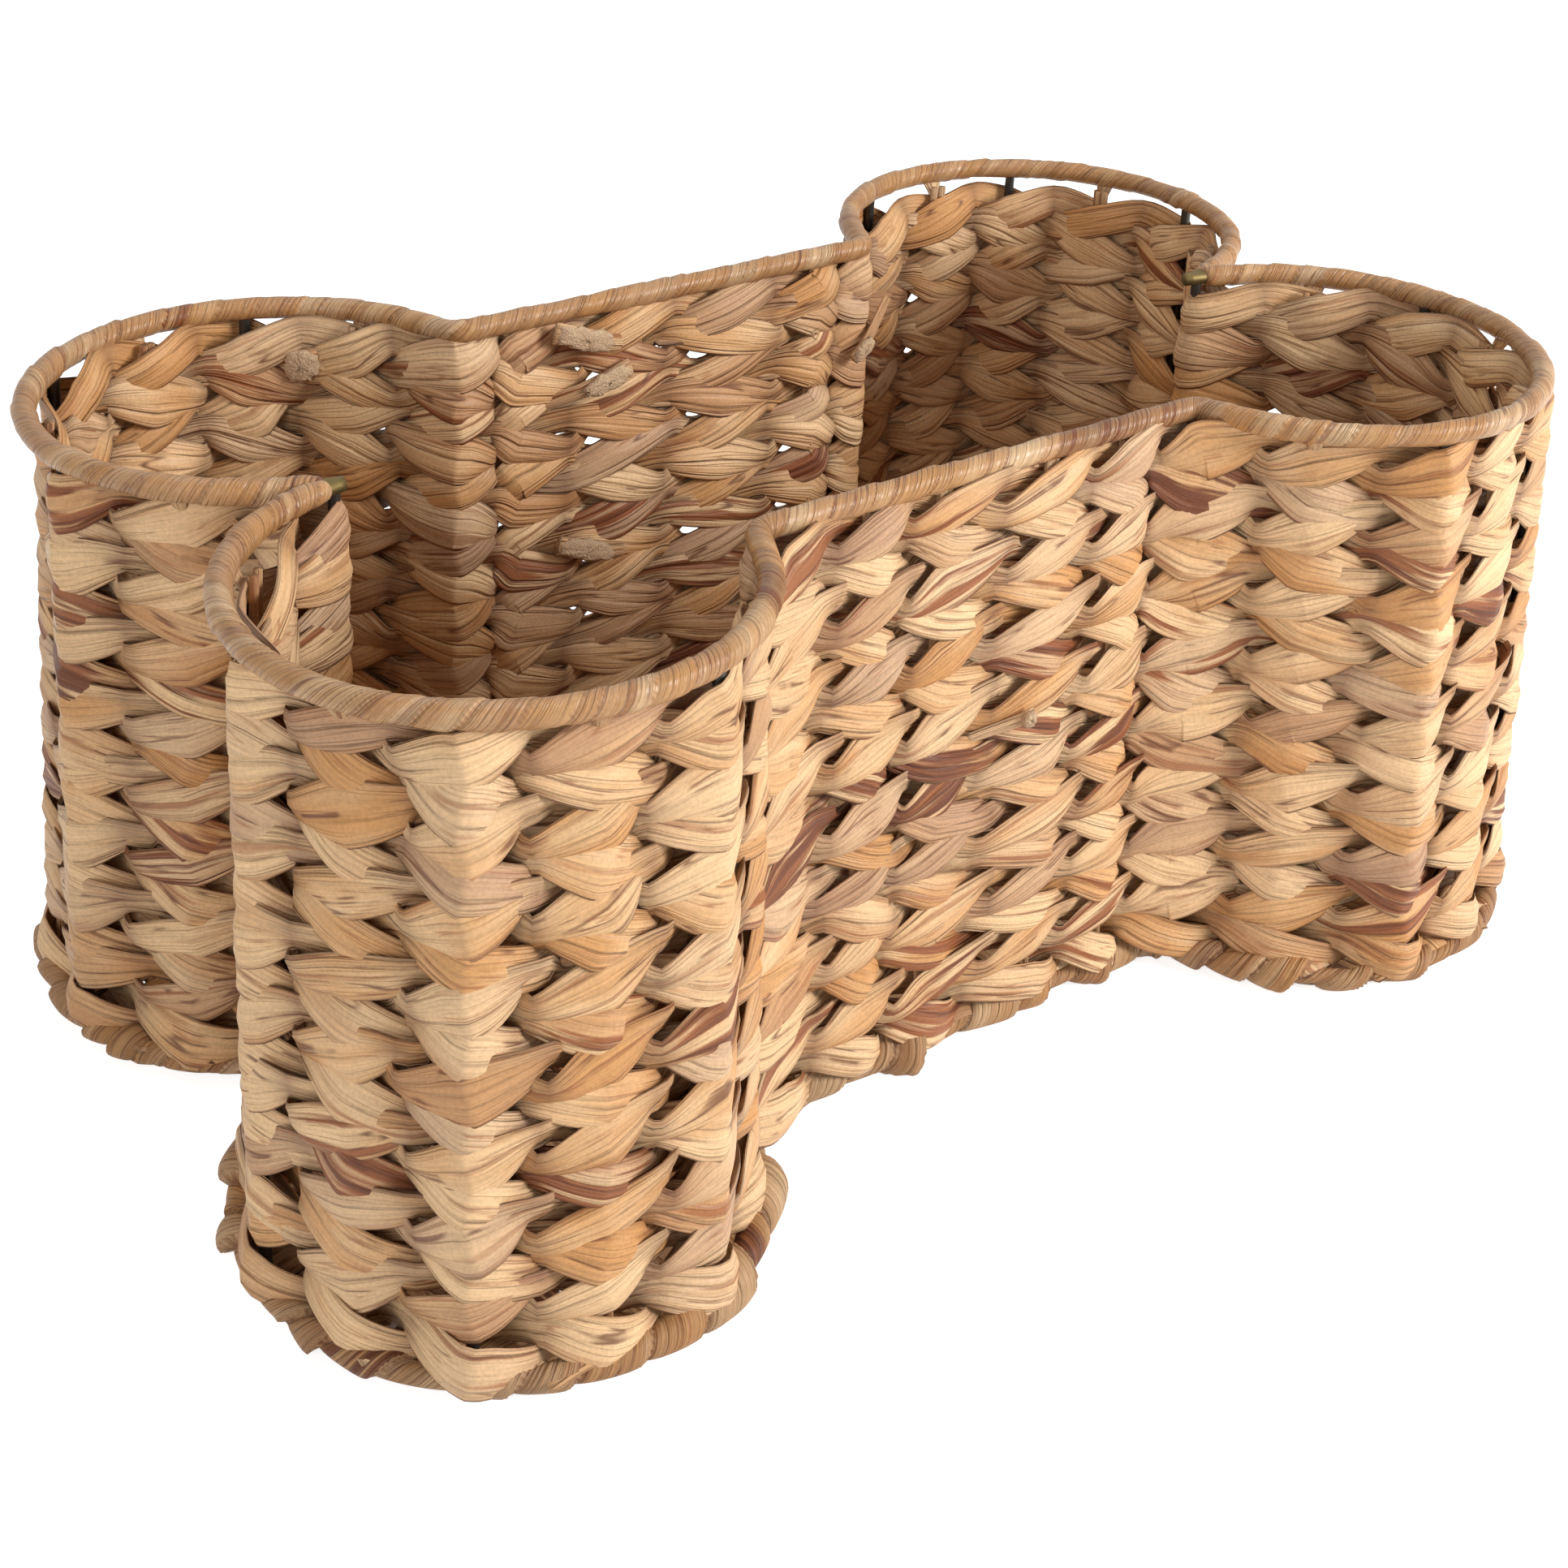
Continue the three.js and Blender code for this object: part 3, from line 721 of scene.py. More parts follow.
def twined_row(plan, index):
    """One row: two strands that change places at every upright, twisted the same way round."""
    sizes, sides = plan.sizes, 16
    rng = np.random.default_rng(100 + index)
    course = Course(plan, index, rng)
    count, between, post = course.count, course.between, course.post
    i, j, t = course.i, course.j, course.t
    slant, lap = (1, sizes.lap) if index % 2 else (-1, -sizes.lap)
    half = np.where(post, sizes.post, STAKE_HALF) + sizes.leaf_thick / 2
    half += BASE_BULGE if course.lowest else 0.0
    usual = np.where(course.on_lobe, LOBE_LEAF, 1.0) * sizes.stake_leaf
    usual = np.where(post, sizes.post_leaf, usual)
    if course.topmost:
        usual = usual * TOP_LEAF
    if course.lowest:
        usual = usual * np.where(post, LOWEST_POST_LEAF, LOWEST_STAKE_LEAF)

    flat, high = np.cos(turns(sides))[None], np.sin(turns(sides))[None]
    crown = np.sign(high) * np.abs(high) ** 1.5
    drift = rng.normal(0, DRIFT_SPREAD, count)
    skin = Skin()
    for strand in (0, 1):
        phase = math.pi * (course.phase + strand)
        facing_out = np.cos(phase)
        open_ = np.abs(facing_out)
        outside = np.where((np.arange(count) + strand) % 2 == 0, 1, -1)
        hollow = outside * course.turn < 0
        reach = np.where(post, sizes.post_fold, sizes.stake_fold)
        leaving, coming = course.near(np.where(hollow, sizes.bridge, reach))
        facing = course.bearing[i] - course.turn[i] / 2 * leaving + course.turn[j] / 2 * coming
        normal = np.stack([np.cos(facing), np.sin(facing), np.zeros_like(facing)], -1)

        # The middle of the strand
        fullness = rng.uniform(*WIDTHS, count)
        layer = 0.0004 + 0.0016 * np.clip(fullness - 0.85, 0, 1) + rng.uniform(0, 0.0004, count)
        radial = np.sign(facing_out) * open_**1.05 * between(half + layer)
        radial += (drift[i] + lap) * (1 - open_**2)
        zigzag = np.arcsin(0.96 * np.sin(phase)) / math.asin(0.96)
        climb = slant * sizes.rise * zigzag * between(rng.uniform(*CLIMBS, count))
        climb += between(rng.normal(0, HEIGHT_SPREAD, count) - course.sag)
        centre = np.column_stack([course.foot + course.tilt * climb[:, None], course.z + climb])
        centre += normal * radial[:, None]
        pulled = (np.where(hollow, course.slack, 0) * outside)[:, None] * course.split
        near_i, near_j = np.clip(1 - 2 * t, 0, 1), np.clip(2 * t - 1, 0, 1)
        centre[:, :2] += pulled[i] * near_i[:, None] + pulled[j] * near_j[:, None]

        # Its width, thickness and roll
        to_crossing = 2 * np.arcsin(np.abs(np.sin(phase))) / math.pi
        taper = np.clip(1.1 - np.sqrt(to_crossing**2 + 0.01), 0, 1)
        width = sizes.neck + (between(usual * fullness) - sizes.neck) * taper
        thick = sizes.neck_thick + (sizes.leaf_thick - sizes.neck_thick) * open_
        along = directions(centre, closed=True)
        out = unit(normal - along * np.sum(normal * along, -1, keepdims=True))
        up = np.cross(along, out)
        up *= np.sign(up[:, 2:3])
        roll = between(rng.normal(0, ROLL_SPREAD, count)) + sizes.shingle * facing_out
        roll = (roll - slant * sizes.tuck_under * (1 - open_))[:, None]
        out, up = out * np.cos(roll) + up * np.sin(roll), up * np.cos(roll) - out * np.sin(roll)

        # Its section: creased, curled back at the edges, and narrowed behind a gap
        folds = between(rng.uniform(*RIPPLES, count))[:, None]
        begin = between(rng.uniform(*RIPPLE_STARTS, count))[:, None]
        ripple = RIPPLE_DEPTH * np.cos(math.pi * folds * flat + begin) * crown
        curl = -CURL_DEPTH * flat**2 * np.sign(facing_out)[:, None] * open_[:, None] ** 2
        deep = thick[:, None] / 2 * crown + ripple + curl
        edge = course.pitch / 2 - sizes.gap
        behind = np.clip(3 * np.where(course.seen_inside, facing_out, -facing_out), 0, 1)
        above, below = (
            width / 2 - share * behind * np.maximum(width / 2 - edge + way * climb, 0)
            for share, way in zip(course.parted, (1, -1))
        )
        wide = np.where(flat > 0, above[:, None], below[:, None]) * flat
        rings = centre[:, None] + wide[..., None] * up[:, None] + deep[..., None] * out[:, None]
        # Tone, greyness and stain of the stalks, then painted shade that darkens towards each
        # crossing
        marks = np.column_stack([between(strand_marks(rng, count)), (1 - open_) ** 2.4])
        run = distances(centre, closed=True) + rng.uniform(0, 40)
        around = girth(sides, 2.2 * sizes.stake_leaf, rng.uniform(0, 9))
        skin.strip(rings, grid(run, around), marks, np.abs(flat) ** 8, closed=True)
    material = finish_named("twined_water_hyacinth")
    number = f"{index + 1:02d}"
    skin.build(f"twined_row_{number}", material, "weave", f"weave_row_{number}")


class BASKET_OT_twined_rows(bpy.types.Operator):
    """Twine every row of strands round the uprights"""

    bl_idname = "basket.twined_rows"
    bl_label = "Twined rows"

    def execute(self, context):
        plan = Plan(context.scene)
        for index in range(plan.sizes.rows):
            twined_row(plan, index)
        return {"FINISHED"}


# Frame


ROD_END = 0.003  # how far a rod's cut end shows past the right notch
FLOOR_ROD_CLEAR = 0.0003  # how far the rod under the floor is off the ground
STALK_THICK, STALK_GIRTH, STALK_APART = 0.0031, 0.0098, 0.0033  # a stake's two stalks


class BASKET_OT_rim_rods(bpy.types.Operator):
    """Bend the two round rods of the rims"""

    bl_idname = "basket.rim_rods"
    bl_label = "Rim rods"

    def execute(self, context):
        plan = Plan(context.scene)
        for end, z, finish, slot in (
            ("top", plan.top_z, "brass_plated_rod", "rim_rod"),
            ("base", plan.base_z, "coated_steel_post", "frame_wire"),
        ):
            skin = Skin()
            for side in ("front", "back"):
                line = raised(resample(plan.rim_line(side, z), 0.0025), z)
                if side == "front":
                    line = np.vstack([line, line[-1] + ROD_END * unit(line[-1] - line[-2])])
                rings = sections(line, [0, 0, 1], 2 * plan.sizes.rod, 2 * plan.sizes.rod, 16)
                skin.strip(rings, grid(distances(line), girth(16, 2 * math.pi * plan.sizes.rod)))
            skin.build(f"{end}_rod", finish_named(finish), slot, f"{end}_rim_rod")
        return {"FINISHED"}


class BASKET_OT_posts(bpy.types.Operator):
    """Stand the round metal posts between the two rods, and lay the rod under the floor"""

    bl_idname = "basket.posts"
    bl_label = "Metal posts"

    def execute(self, context):
        plan = Plan(context.scene)
        for name, kind, at in plan.uprights():
            if kind == "post":
                foot, head = (Vector((*at(z), z)) for z in (plan.base_z, plan.top_z))
                self.wire(name.replace("_post_", "_wire_"), foot, head, plan.sizes.post, name)
        reach = plan.notch * (1 + plan.grow_x) - plan.sizes.rod
        ends = (Vector((x, 0, plan.sizes.rod + FLOOR_ROD_CLEAR)) for x in (-reach, reach))
        self.wire("floor_wire", *ends, plan.sizes.rod, "floor_spine_rod")
        return {"FINISHED"}

    def wire(self, name, foot, head, radius, node):
        """A round wire with bevelled ends, laid from foot to head."""
        bpy.ops.object.select_all(action="DESELECT")
        bpy.ops.mesh.primitive_cylinder_add(
            vertices=20,
            radius=radius,
            depth=(head - foot).length,
            location=(foot + head) / 2,
            rotation=(head - foot).to_track_quat("Z", "Y").to_euler(),
        )
        piece = bpy.context.active_object
        piece.name = name
        bpy.ops.object.transform_apply(location=True, rotation=True, scale=True)
        bpy.ops.object.mode_set(mode="EDIT")
        bpy.ops.mesh.select_mode(type="FACE")
        bpy.ops.mesh.select_all(action="DESELECT")
        bpy.ops.object.mode_set(mode="OBJECT")
        for polygon in piece.data.polygons:
            polygon.select = len(polygon.vertices) > 4
        bpy.ops.object.mode_set(mode="EDIT")
        bpy.ops.mesh.inset(thickness=radius / 5, depth=radius / 5)
        bpy.ops.object.mode_set(mode="OBJECT")
        bpy.ops.object.shade_smooth_by_angle(angle=math.radians(35))
        piece.data.materials.append(finish_named("coated_steel_post"))
        settle(piece, "frame_wire", node)


class BASKET_OT_fibre_stakes(bpy.types.Operator):
    """Stand the pairs of thin stalks between the posts, up to the top row"""

    bl_idname = "basket.fibre_stakes"
    bl_label = "Fibre stakes"

    def execute(self, context):
        plan = Plan(context.scene)
        rng = np.random.default_rng(7)
        heights = np.linspace(plan.base_z, plan.high, 26)
        stops = plan.uprights()
        stakes = [k for k, (_, kind, _) in enumerate(stops) if kind == "stake"]
        for number, k in enumerate(stakes, 1):
            name, _, at = stops[k]
            beside = stops[(k + 1) % len(stops)][2](plan.low) - stops[k - 1][2](plan.low)
            along = np.append(unit(beside), 0)
            line = np.array([[*at(z), z] for z in heights])
            skin = Skin()
            for side in (-1, 1):
                wander = np.cumsum(rng.normal(0, 0.00012, len(line)))
                stalk = line + along * (side * STALK_APART / 2 + wander[:, None])
                size = STALK_THICK + 0.0003 * np.sin(heights / 0.011 + rng.uniform(0, 6))
                marks = [rng.uniform(0.3, 0.9), 0.3, 0.1, 0.0]
                rings = sections(stalk, np.cross(along, [0, 0, 1]), size, size, 10)
                skin.strip(rings, stalk_uv(rng, stalk, 10, STALK_GIRTH), marks)
            piece = (name or f"flank_stake_{number}").replace("_stake_", "_stalks_")
            nodes = [name] if name else []
            skin.build(piece, finish_named("fibre_cord"), "fibre_stake", *nodes)
        return {"FINISHED"}


# Wrapping


BARE_TIP = 0.28  # where a wrapping stops at a notch, as a share of its radius from the long axis
LOWEST = 0.0002  # nothing of the wrapping comes nearer to the ground
TIGHTEST = 0.0029  # least radius of a turn, which keeps the rod covered
END_SIZE = 0.62  # radius of a wrapping's two ends, as a share of the usual one
SWAY, SWAY_RUN = 0.25, 0.043  # how much of the slant comes and goes, and over what length
TURN_SPREAD, SLOW_SPREAD = 0.35, 0.30  # spread of the turns' height and of the rim's, in steps
HUE_SPREAD, WORN_SPREAD = 0.22, 0.15  # spread of the turns' tone and of how dark they are
# How each rim is wound: spacing of the points along it, how far its turns start inside of the
# wrapped rim's radius, the strip's least and most width, the step from one turn to the next, how
# far a turn slants, its section's sides, the seed, the tone, the share of stained turns, and how
# rounded a turn's back is
WINDINGS = {
    "top": (0.0010, 0.0003, (0.004, 0.021), 0.0005, 0.016, 20, 20, 0.80, 0.02, 0.0),
    "base": (0.0012, 0.0035, (0.011, 0.026), 0.0034, 0.018, 24, 30, 0.70, 0.04, 0.25),
}
# Stretches of the top rim that are wound with darker strip: side, where along X, and how dark
DARK_STRETCHES = (
    ("front", -0.136, -0.112, 0.70),
    ("front", 0.018, 0.050, 0.95),
    ("front", 0.050, 0.090, 0.50),
)


def wrapped_line(plan, side, z, radius, spacing):
    """The rim line of one side, from where its wrapping starts to where it ends."""
    line = resample(plan.rim_line(side, z), spacing)
    clear = np.nonzero(np.abs(line[:, 1]) > BARE_TIP * radius)[0]
    return raised(line[clear[0] : clear[-1] + 1], z)


def wound_rim(skin, plan, rim, side, wrapped, z):
    """One side's rod wound with a strip, each turn lapping over the one before, seam underneath."""
    spacing, inset, strip, step, lead, sides, seed, tone, stained, rounding = WINDINGS[rim]
    rng = np.random.default_rng(seed + (side == "back"))
    line = wrapped_line(plan, side, z, wrapped, spacing)
    radius = wrapped - inset
    run = distances(line)
    edges = np.cumsum(rng.uniform(*strip, int(run[-1] / strip[0]) + 4)) - 2 * strip[1]
    share = np.arange(sides + 1) / sides
    sway = SWAY * lead * np.sin(run / SWAY_RUN + rng.uniform(0, 6))
    across = run[:, None] - (lead + sway[:, None]) * share[None]
    turn = np.clip(np.searchsorted(edges, across) - 1, 0, len(edges) - 2)
    part = (across - edges[turn]) / (edges[turn + 1] - edges[turn])
    swell = rng.normal(0, TURN_SPREAD, len(edges))
    lap = np.clip(part, 0, 1) ** 0.7 * np.clip((1 - part) / 0.07, 0, 1) ** 0.5
    band = np.clip(1 - np.abs(2 * part - 1) ** 4, 0, 1) ** 0.6
    shape = (1 - rounding) * lap + rounding * band
    slow = np.interp(run, edges, rng.normal(0, SLOW_SPREAD, len(edges)))
    height = step * (shape * (1 + swell[turn]) + 0.35 * swell[turn] + slow[:, None])
    size = np.maximum(radius + height, TIGHTEST)[:, :-1]
    thin = np.clip(np.minimum(run, run[-1] - run) / (1.5 * radius), 0, 1)[:, None] ** 0.4
    size *= END_SIZE + (1 - END_SIZE) * thin
    up = np.array([0.0, 0.0, 1.0])
    aside = unit(np.cross(directions(line), up))
    angle = (turns(sides) - math.pi / 2)[:, None]
    spoke = aside[:, None] * np.cos(angle) + up * np.sin(angle)
    rings = line[:, None] + spoke * size[..., None]
    rings[..., 2] = np.maximum(rings[..., 2], LOWEST)

    hue = np.clip(tone + rng.normal(0, HUE_SPREAD, len(edges)), 0, 1)
    grey = rng.random(len(edges)) ** 1.5 * 0.35
    stain = np.where(rng.random(len(edges)) < stained, rng.uniform(0.3, 0.7, len(edges)), 0.03)
    worn, at = np.zeros(len(edges)), np.interp(edges, run, line[:, 0])
    for where, low, high, darkness in DARK_STRETCHES if rim == "top" else ():
        inside = (where == side) & (at > low) & (at < high)
        stain[inside] = 0.2
        worn[inside] = darkness + rng.normal(0, WORN_SPREAD, inside.sum())
    pick, part = turn[:, :-1], part[:, :-1]
    # Painted shade where a turn starts under the lap of the one before, joined with the darker
    # stretches of strip
    painted_lap_shade = np.clip(1 - part / (0.10 + 0.3 * rounding), 0, 1) * (1 + rounding)
    marks = np.stack([hue[pick], grey[pick], stain[pick], np.maximum(painted_lap_shade, worn[pick])], -1)
    round_ = girth(sides, 2 * math.pi * radius, rng.uniform(0, 9))
    uv = np.stack([np.broadcast_to(round_, across.shape), across], -1)
    skin.strip(rings, uv, marks)


class BASKET_OT_rim_wraps(bpy.types.Operator):
    """Wind a fine strip round the top rod and a wide one round the base rod"""

    bl_idname = "basket.rim_wraps"
    bl_label = "Rim wrapping"

    def execute(self, context):
        plan = Plan(context.scene)
        for rim, wrapped, z, finish, slot in (
            ("top", plan.sizes.top_wrap, plan.top_z, "wound_fibre_strip", "rim_wrap"),
            ("base", plan.sizes.base_wrap, plan.base_z, "folded_fibre_strip", "base_wrap"),
        ):
            skin = Skin()
            for side in ("front", "back"):
                wound_rim(skin, plan, rim, side, wrapped, z)
            skin.build(f"{rim}_wrapping", finish_named(finish), slot, f"{rim}_rim_wrap")
        return {"FINISHED"}


class BASKET_OT_rim_ties(bpy.types.Operator):
    """Run a short web of fibre from each stake up into the wrapping of the top rim"""

    bl_idname = "basket.rim_ties"
    bl_label = "Rim ties"

    def execute(self, context):
        plan = Plan(context.scene)
        rng = np.random.default_rng(11)
        rims = [wrapped_line(plan, side, plan.top_z, 0.004, 0.002) for side in ("front", "back")]
        rim = np.vstack(rims)
        low = plan.high - 0.010
        skin = Skin()
        for _, kind, at in plan.uprights():
            if kind != "stake":
                continue
            foot = np.array([*at(low), low])
            nearest = np.argmin(np.linalg.norm(rim[:, :2] - foot[:2], axis=1))
            across = unit(rim[min(nearest + 1, len(rim) - 1)] - rim[nearest - 1])
            crown = rim[nearest] - [0, 0, 0.0012]
            line = resample(np.array([foot, 0.45 * foot + 0.55 * crown, crown]), 0.0008)
            share = np.linspace(0, 1, len(line))
            width = 0.0042 + rng.uniform(0.004, 0.009) * share**2.2
            rings = sections(line, across, width, 0.0030 - 0.0012 * share, 12, across)
            marks = [rng.uniform(0.2, 0.9), rng.random() * 0.5, 0.1, 0.0]
            skin.strip(rings, stalk_uv(rng, line, 12, 0.014), marks)
        skin.build("rim_ties", finish_named("fibre_cord"), "rim_wrap")
        return {"FINISHED"}


# Where a strand was cut or tore: lobe or side, bearing or distance along X, height, 1 outside or
# -1 inside, the way it points along the wall, its slope, and its cut face's length and width
CUT_ENDS = (
    ("back_left", 124, 0.207, -1, 1, 0.1, 0.013, 0.012),
    ("back", -0.0435, 0.2165, -1, -1, 0.35, 0.026, 0.009),
    ("back", -0.0330, 0.1975, -1, 1, 0.30, 0.022, 0.008),
    ("back", -0.0405, 0.1270, -1, -1, 0.35, 0.026, 0.009),
    ("back", 0.0885, 0.1850, -1, -1, -0.9, 0.012, 0.006),
    ("front", 0.0165, 0.131, 1, 1, 0.3, 0.006, 0.006),
)
# A cut face from its hidden edge to its middle: share of its size, and height
PITH_DOME = (
    (0.80, -0.0022),
    (1.00, -0.0006),
    (0.96, 0.0006),
    (0.70, 0.0013),
    (0.35, 0.0015),
    (0.02, 0.0016),
)


class BASKET_OT_cut_ends(bpy.types.Operator):
    """Leave the cut and torn ends of strands lying on the wall, with their pith showing"""

    bl_idname = "basket.cut_ends"
    bl_label = "Cut ends"

    def execute(self, context):
        plan = Plan(context.scene)
        rng = np.random.default_rng(13)
        stalks, pith = Skin(), Skin()
        lie = plan.sizes.post + 2.4 * plan.sizes.leaf_thick
        for where, at, z, side, way, slope, span, width in CUT_ENDS:
            spot, along, out = self.wall(plan, where, at, z)
            out, along = side * out, unit(way * along + [0, 0, slope])
            out = unit(out - along * (out @ along))
            tip = spot + out * lie
            root = spot - along * (span / 2 + 0.018)
            knee = spot - along * span / 2 + out * (lie - 0.0012)
            line = resample(np.array([root, knee, tip, tip + along * span / 2]), 0.002)
            share = np.linspace(0, 1, len(line))
            wide, thick = width * (0.7 + 0.25 * share), 0.0022 + 0.0012 * share
            rings = sections(line, out, wide, thick, 16)
            marks = [rng.random(), 0.4, 0.3 * rng.random(), 0.0]
            stalks.strip(rings, stalk_uv(rng, line, 16, 0.024), marks)
            self.face(pith, rng, tip + out * 0.0016, along, out, span, width)
        stalks.build("cut_strands", finish_named("twined_water_hyacinth"), "weave")
        pith.build("pith_ends", finish_named("dried_pith"), "weave")
        return {"FINISHED"}

    def wall(self, plan, where, at, z):
        """A spot on the middle of the wall, the way along it and the way out of it."""
        if where in LOBES:
            signs = LOBES[where]
            points = [plan.on_lobe(at + k, 0.002) for k in (-1, 0, 1)]
        else:
            signs = (1, -1 if where == "front" else 1)
            points = [np.array([at + k * 0.001, plan.outline.waist]) for k in (-1, 0, 1)]
        low, spot, high = (np.append(plan.place(p, signs, z), z) for p in points)
        along = unit(high - low)
        out = np.cross(along, [0, 0, 1])
        outward = spot[:2] - plan.place(plan.lobe, signs, z) if where in LOBES else [0, signs[1]]
        return spot, along, out * np.sign(out[:2] @ outward)

    def face(self, skin, rng, middle, along, out, span, width, sides=28):
        """The cut face: a low rough dome with a torn edge."""
        across = np.cross(out, along)
        torn = rng.normal(0, 0.09, sides)
        cos, sin = np.cos(turns(sides)), np.sin(turns(sides))
        rings = []
        for reach, high in PITH_DOME:
            ragged = reach * (1 + torn * reach)
            x = span / 2 * cos * ragged
            y = width / 2 * np.sign(sin) * np.abs(sin) ** 0.8 * ragged
            rough = high + rng.normal(0, 0.00025, sides)
            rings.append(middle + x[:, None] * along + y[:, None] * across + rough[:, None] * out)
        run = np.arange(len(rings)) * 0.002 + rng.uniform(0, 9)
        skin.strip(np.array(rings), grid(run, girth(sides, 0.03)))


# Floor


FLOOR_LEVEL, FLOOR_WAVE = 0.0085, 0.0014  # height of the mat's middle, and of its ups and downs
FLOOR_PITCH, FLOOR_STRAND, FLOOR_THICK = 0.0165, 0.0150, 0.0026  # its strands


class BASKET_OT_floor_mat(bpy.types.Operator):
    """Weave the floor over and under, out to the base rim"""

    bl_idname = "basket.floor_mat"
    bl_label = "Floor mat"

    def execute(self, context):
        plan = Plan(context.scene)
        rng = np.random.default_rng(5)
        front, back = (plan.rim_line(side, plan.base_z) for side in ("front", "back"))
        edge = np.vstack([front, back[::-1]])
        skin = Skin()
        for axis in (0, 1):
            other = 1 - axis
            count = int(np.abs(edge[:, other]).max() / FLOOR_PITCH)
            for k in range(-count, count + 1):
                at = k * FLOOR_PITCH
                for start, stop in self.crossings(edge, axis, at):
                    if stop - start < 3 * FLOOR_PITCH:
                        continue
                    run = np.arange(start, stop, FLOOR_PITCH / 5)
                    line = np.zeros((len(run), 3))
                    line[:, axis], line[:, other] = run, at + rng.normal(0, 0.0006)
                    wave = np.cos(math.pi * (run / FLOOR_PITCH + k + axis))
                    line[:, 2] = FLOOR_LEVEL + FLOOR_WAVE * wave
                    width = FLOOR_STRAND * rng.uniform(0.9, 1.08)
                    rings = sections(line, [0, 0, 1], width, FLOOR_THICK, 8)
                    marks = [rng.random(), rng.random() * 0.6, rng.random() ** 4, 0.1]
                    skin.strip(rings, stalk_uv(rng, line, 8, 0.034, 40), marks)
        skin.build("woven_floor", finish_named("twined_water_hyacinth"), "floor_weave", "floor_mat")
        return {"FINISHED"}

    def crossings(self, edge, axis, at):
        """Where a line across the floor is inside the base rim."""
        other = 1 - axis
        hits = []
        for a, b in zip(edge, np.roll(edge, -1, 0)):
            if (a[other] > at) != (b[other] > at):
                share = (at - a[other]) / (b[other] - a[other])
                hits.append(a[axis] + share * (b[axis] - a[axis]))
        hits.sort()
        return list(zip(hits[::2], hits[1::2]))


# Stage


# Place, width in metres and watts of each lamp
LAMPS = {
    "key": ((1.15, -1.45, 0.95), 0.9, 40.0),
    "fill": ((-1.5, -0.9, 0.8), 1.4, 12.0),
    "top": ((0.0, 0.5, 1.9), 1.3, 9.0),
}
ROOM_LIGHT = 0.24  # strength of the white room's light on the basket
FLOOR_GLOW = 0.76  # what makes the floor look white and leaves the basket's shadow on it
# The camera as it was fitted to the photograph, in degrees and metres, and in pixels of its picture
CAMERA_TURN, CAMERA_TILT, CAMERA_ROLL = -36.6, 27.24, 2.34
CAMERA_TARGET, CAMERA_DISTANCE = (0.0309, 0.0565, 0.1136), 0.9256
PICTURE, FOCAL_LENGTH, AXIS_ROW = 1932, 2858.2, 700


def background_rays(put):
    """1 for the rays that show what is behind the basket: to the eye, by gloss or through glass."""
    rays = put("ShaderNodeLightPath").outputs
    either = put(MATH, [rays["Is Camera Ray"], rays["Is Glossy Ray"]], **LARGER)
    return put(MATH, [either, rays["Is Transmission Ray"]], **LARGER)


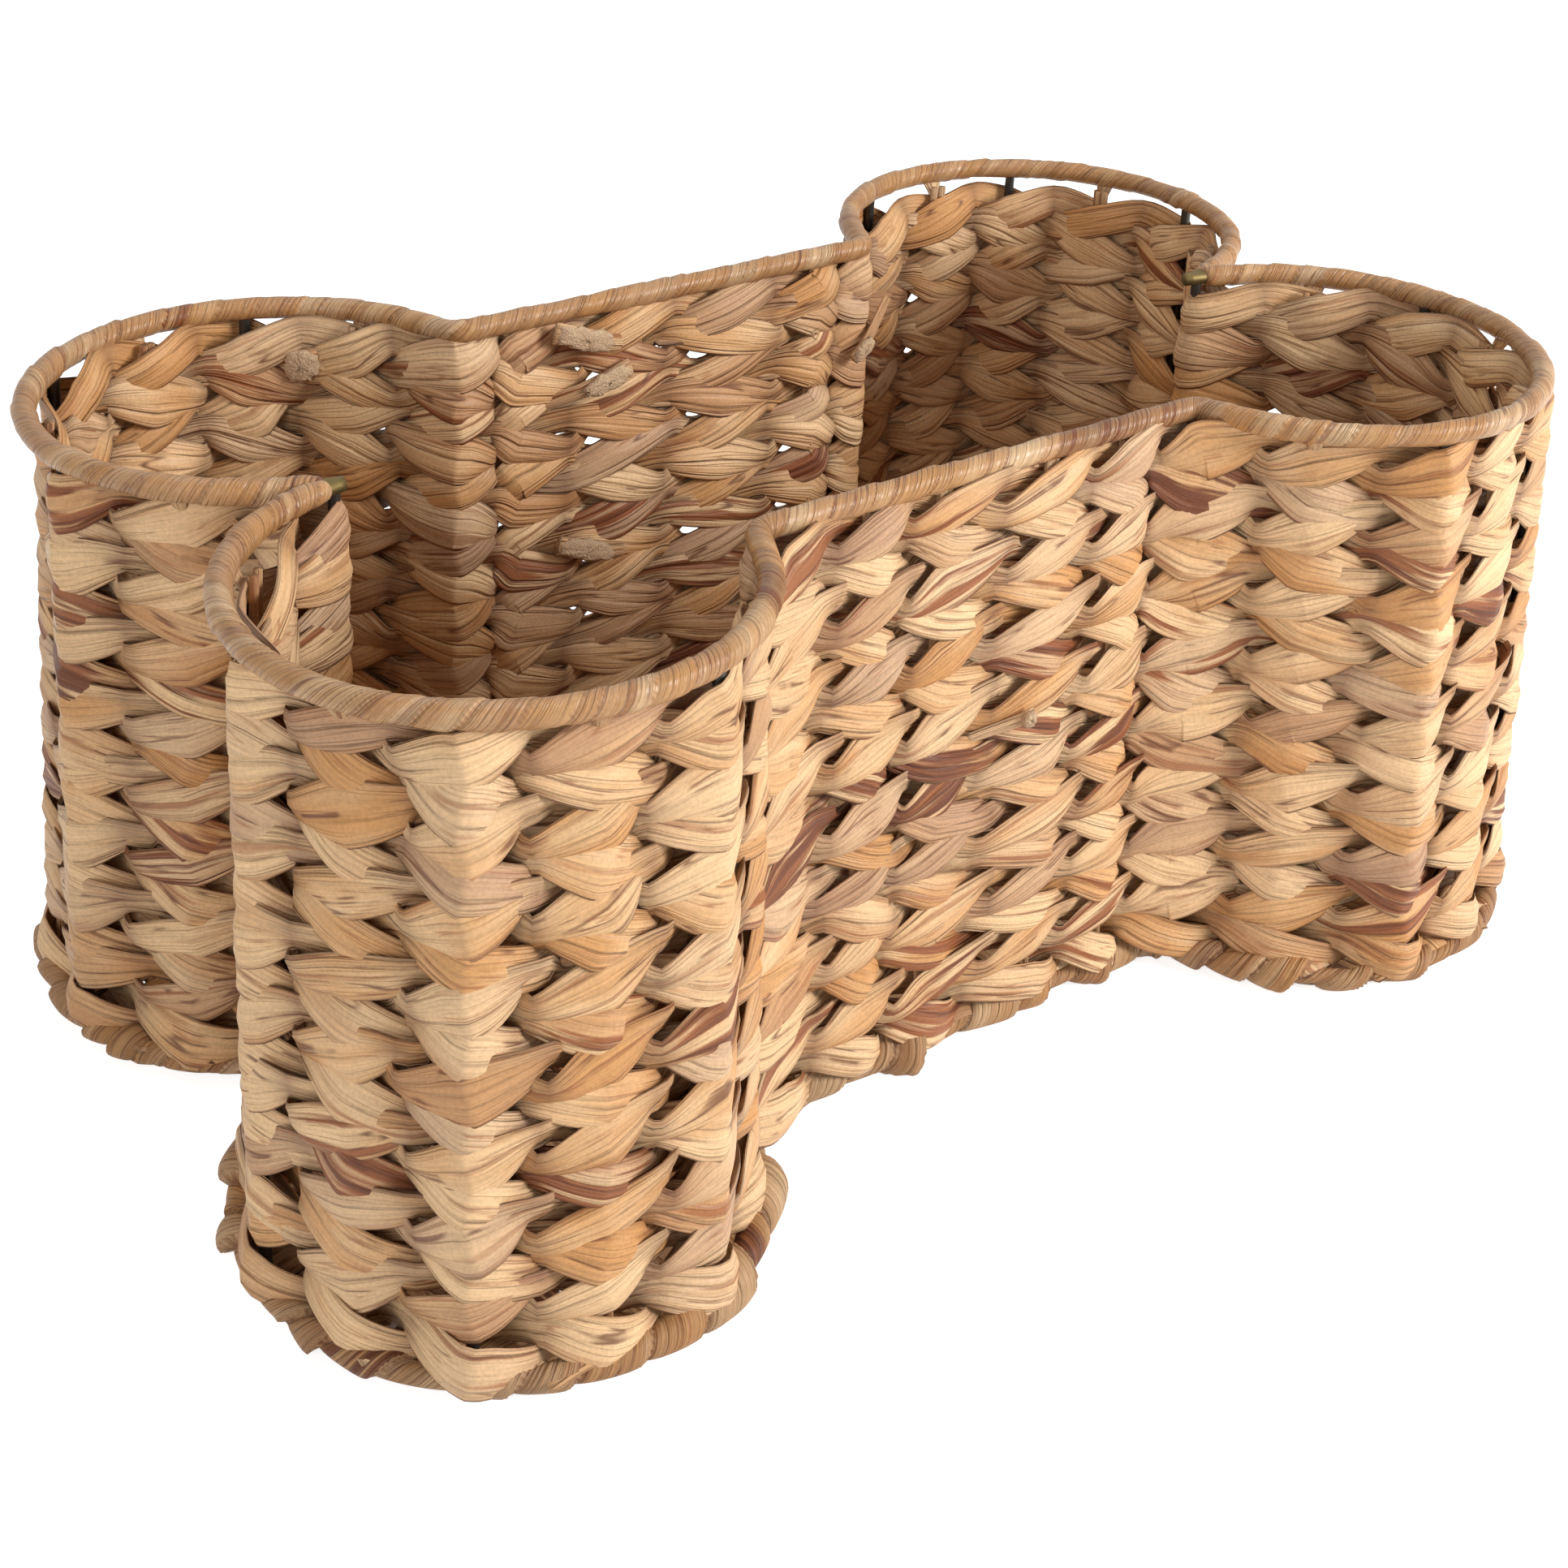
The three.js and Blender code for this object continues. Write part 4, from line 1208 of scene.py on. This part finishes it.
class BASKET_OT_stage(bpy.types.Operator):
    """Lay a plain floor, light it softly and aim the camera"""

    bl_idname = "basket.stage"
    bl_label = "Stage and camera"

    def execute(self, context):
        self.floor()
        self.world(context.scene)
        for name, lamp in LAMPS.items():
            self.lamp(name + "_light", *lamp)
        self.camera(context.scene)
        return {"FINISHED"}

    def floor(self):
        bpy.ops.object.select_all(action="DESELECT")
        bpy.ops.mesh.primitive_plane_add(size=12, location=(0, 0, 0))
        floor = bpy.context.active_object
        floor.name = "studio_floor"
        # Matt white paint that glows a little for the eye alone
        material, put = new_material("white_studio_floor")
        paint = put("ShaderNodeBsdfDiffuse", {"Color": (0.8, 0.8, 0.8)})
        glow = put("ShaderNodeEmission", {"Color": (1, 1, 1), "Strength": FLOOR_GLOW})
        both = put("ShaderNodeAddShader", [paint, glow])
        mixed = put("ShaderNodeMixShader", [background_rays(put), paint, both])
        put("ShaderNodeOutputMaterial", [mixed])
        floor.data.materials.append(material)

    def world(self, scene):
        world = bpy.data.worlds.new("soft_room")
        world.use_nodes = True
        world.node_tree.nodes.clear()
        put = partial(add, world.node_tree)
        strength = put(FIT, [background_rays(put), 0.0, 1.0, ROOM_LIGHT, 1.0])
        room = put("ShaderNodeBackground", {"Color": (1, 1, 1), "Strength": strength})
        put("ShaderNodeOutputWorld", [room])
        scene.world = world
        scene.view_settings.view_transform = "Standard"

    def lamp(self, name, place, size, power):
        data = bpy.data.lights.new(name, "AREA")
        data.shape, data.size, data.energy = "DISK", size, power
        lamp = bpy.data.objects.new(name, data)
        lamp.location = place
        aim = Vector((0, 0, 0.1)) - Vector(place)
        lamp.rotation_euler = aim.to_track_quat("-Z", "Y").to_euler()
        bpy.context.scene.collection.objects.link(lamp)

    def camera(self, scene):
        """Three-quarter view from the front left, a little above, with a slight roll."""
        turn, tilt, roll = (math.radians(a) for a in (CAMERA_TURN, CAMERA_TILT, CAMERA_ROLL))
        level = math.cos(tilt)
        back = Vector((math.sin(turn) * level, -math.cos(turn) * level, math.sin(tilt)))
        right = Vector((0, 0, 1)).cross(back).normalized()
        up = back.cross(right)
        tipped = math.cos(roll) * right + math.sin(roll) * up
        upright = math.cos(roll) * up - math.sin(roll) * right
        data = bpy.data.cameras.new("camera")
        data.sensor_width = 36
        data.lens = 36 * FOCAL_LENGTH / PICTURE
        data.shift_y = AXIS_ROW / PICTURE - 0.5
        data.clip_start, data.clip_end = 0.01, 100
        camera = bpy.data.objects.new("camera", data)
        place = Matrix.Translation(Vector(CAMERA_TARGET) + back * CAMERA_DISTANCE)
        camera.matrix_world = place @ Matrix((tipped, upright, back)).transposed().to_4x4()
        scene.collection.objects.link(camera)
        scene.camera = camera


# Add-on


OPERATORS = (
    BASKET_OT_stage,
    BASKET_OT_rim_rods,
    BASKET_OT_posts,
    BASKET_OT_fibre_stakes,
    BASKET_OT_twined_rows,
    BASKET_OT_rim_wraps,
    BASKET_OT_rim_ties,
    BASKET_OT_cut_ends,
    BASKET_OT_floor_mat,
)


class BASKET_PT_pieces(bpy.types.Panel):
    """The basket's pieces, in the order in which they are made"""

    bl_idname = "BASKET_PT_pieces"
    bl_label = "Bone basket"
    bl_space_type = "VIEW_3D"
    bl_region_type = "UI"
    bl_category = "Basket"

    def draw(self, context):
        column = self.layout.column()
        for operator in OPERATORS:
            column.operator(operator.bl_idname)
        for group in ("basket_outline", "basket_weave", "basket_fibre", "basket_metal"):
            settings = getattr(context.scene, group)
            box = self.layout.box()
            for name in settings.__annotations__:
                box.prop(settings, name)


GROUPS = {
    "basket_outline": BoneOutline,
    "basket_weave": WeaveSizes,
    "basket_fibre": FibreColours,
    "basket_metal": MetalColours,
}


def register():
    for kind in (*GROUPS.values(), *OPERATORS, BASKET_PT_pieces):
        bpy.utils.register_class(kind)
    for name, kind in GROUPS.items():
        setattr(bpy.types.Scene, name, PointerProperty(type=kind))


def unregister():
    for name in GROUPS:
        delattr(bpy.types.Scene, name)
    for kind in reversed((*GROUPS.values(), *OPERATORS, BASKET_PT_pieces)):
        bpy.utils.unregister_class(kind)


def main():
    register()
    for operator in OPERATORS:
        group, name = operator.bl_idname.split(".")
        getattr(getattr(bpy.ops, group), name)()


if __name__ == "__main__":
    main()
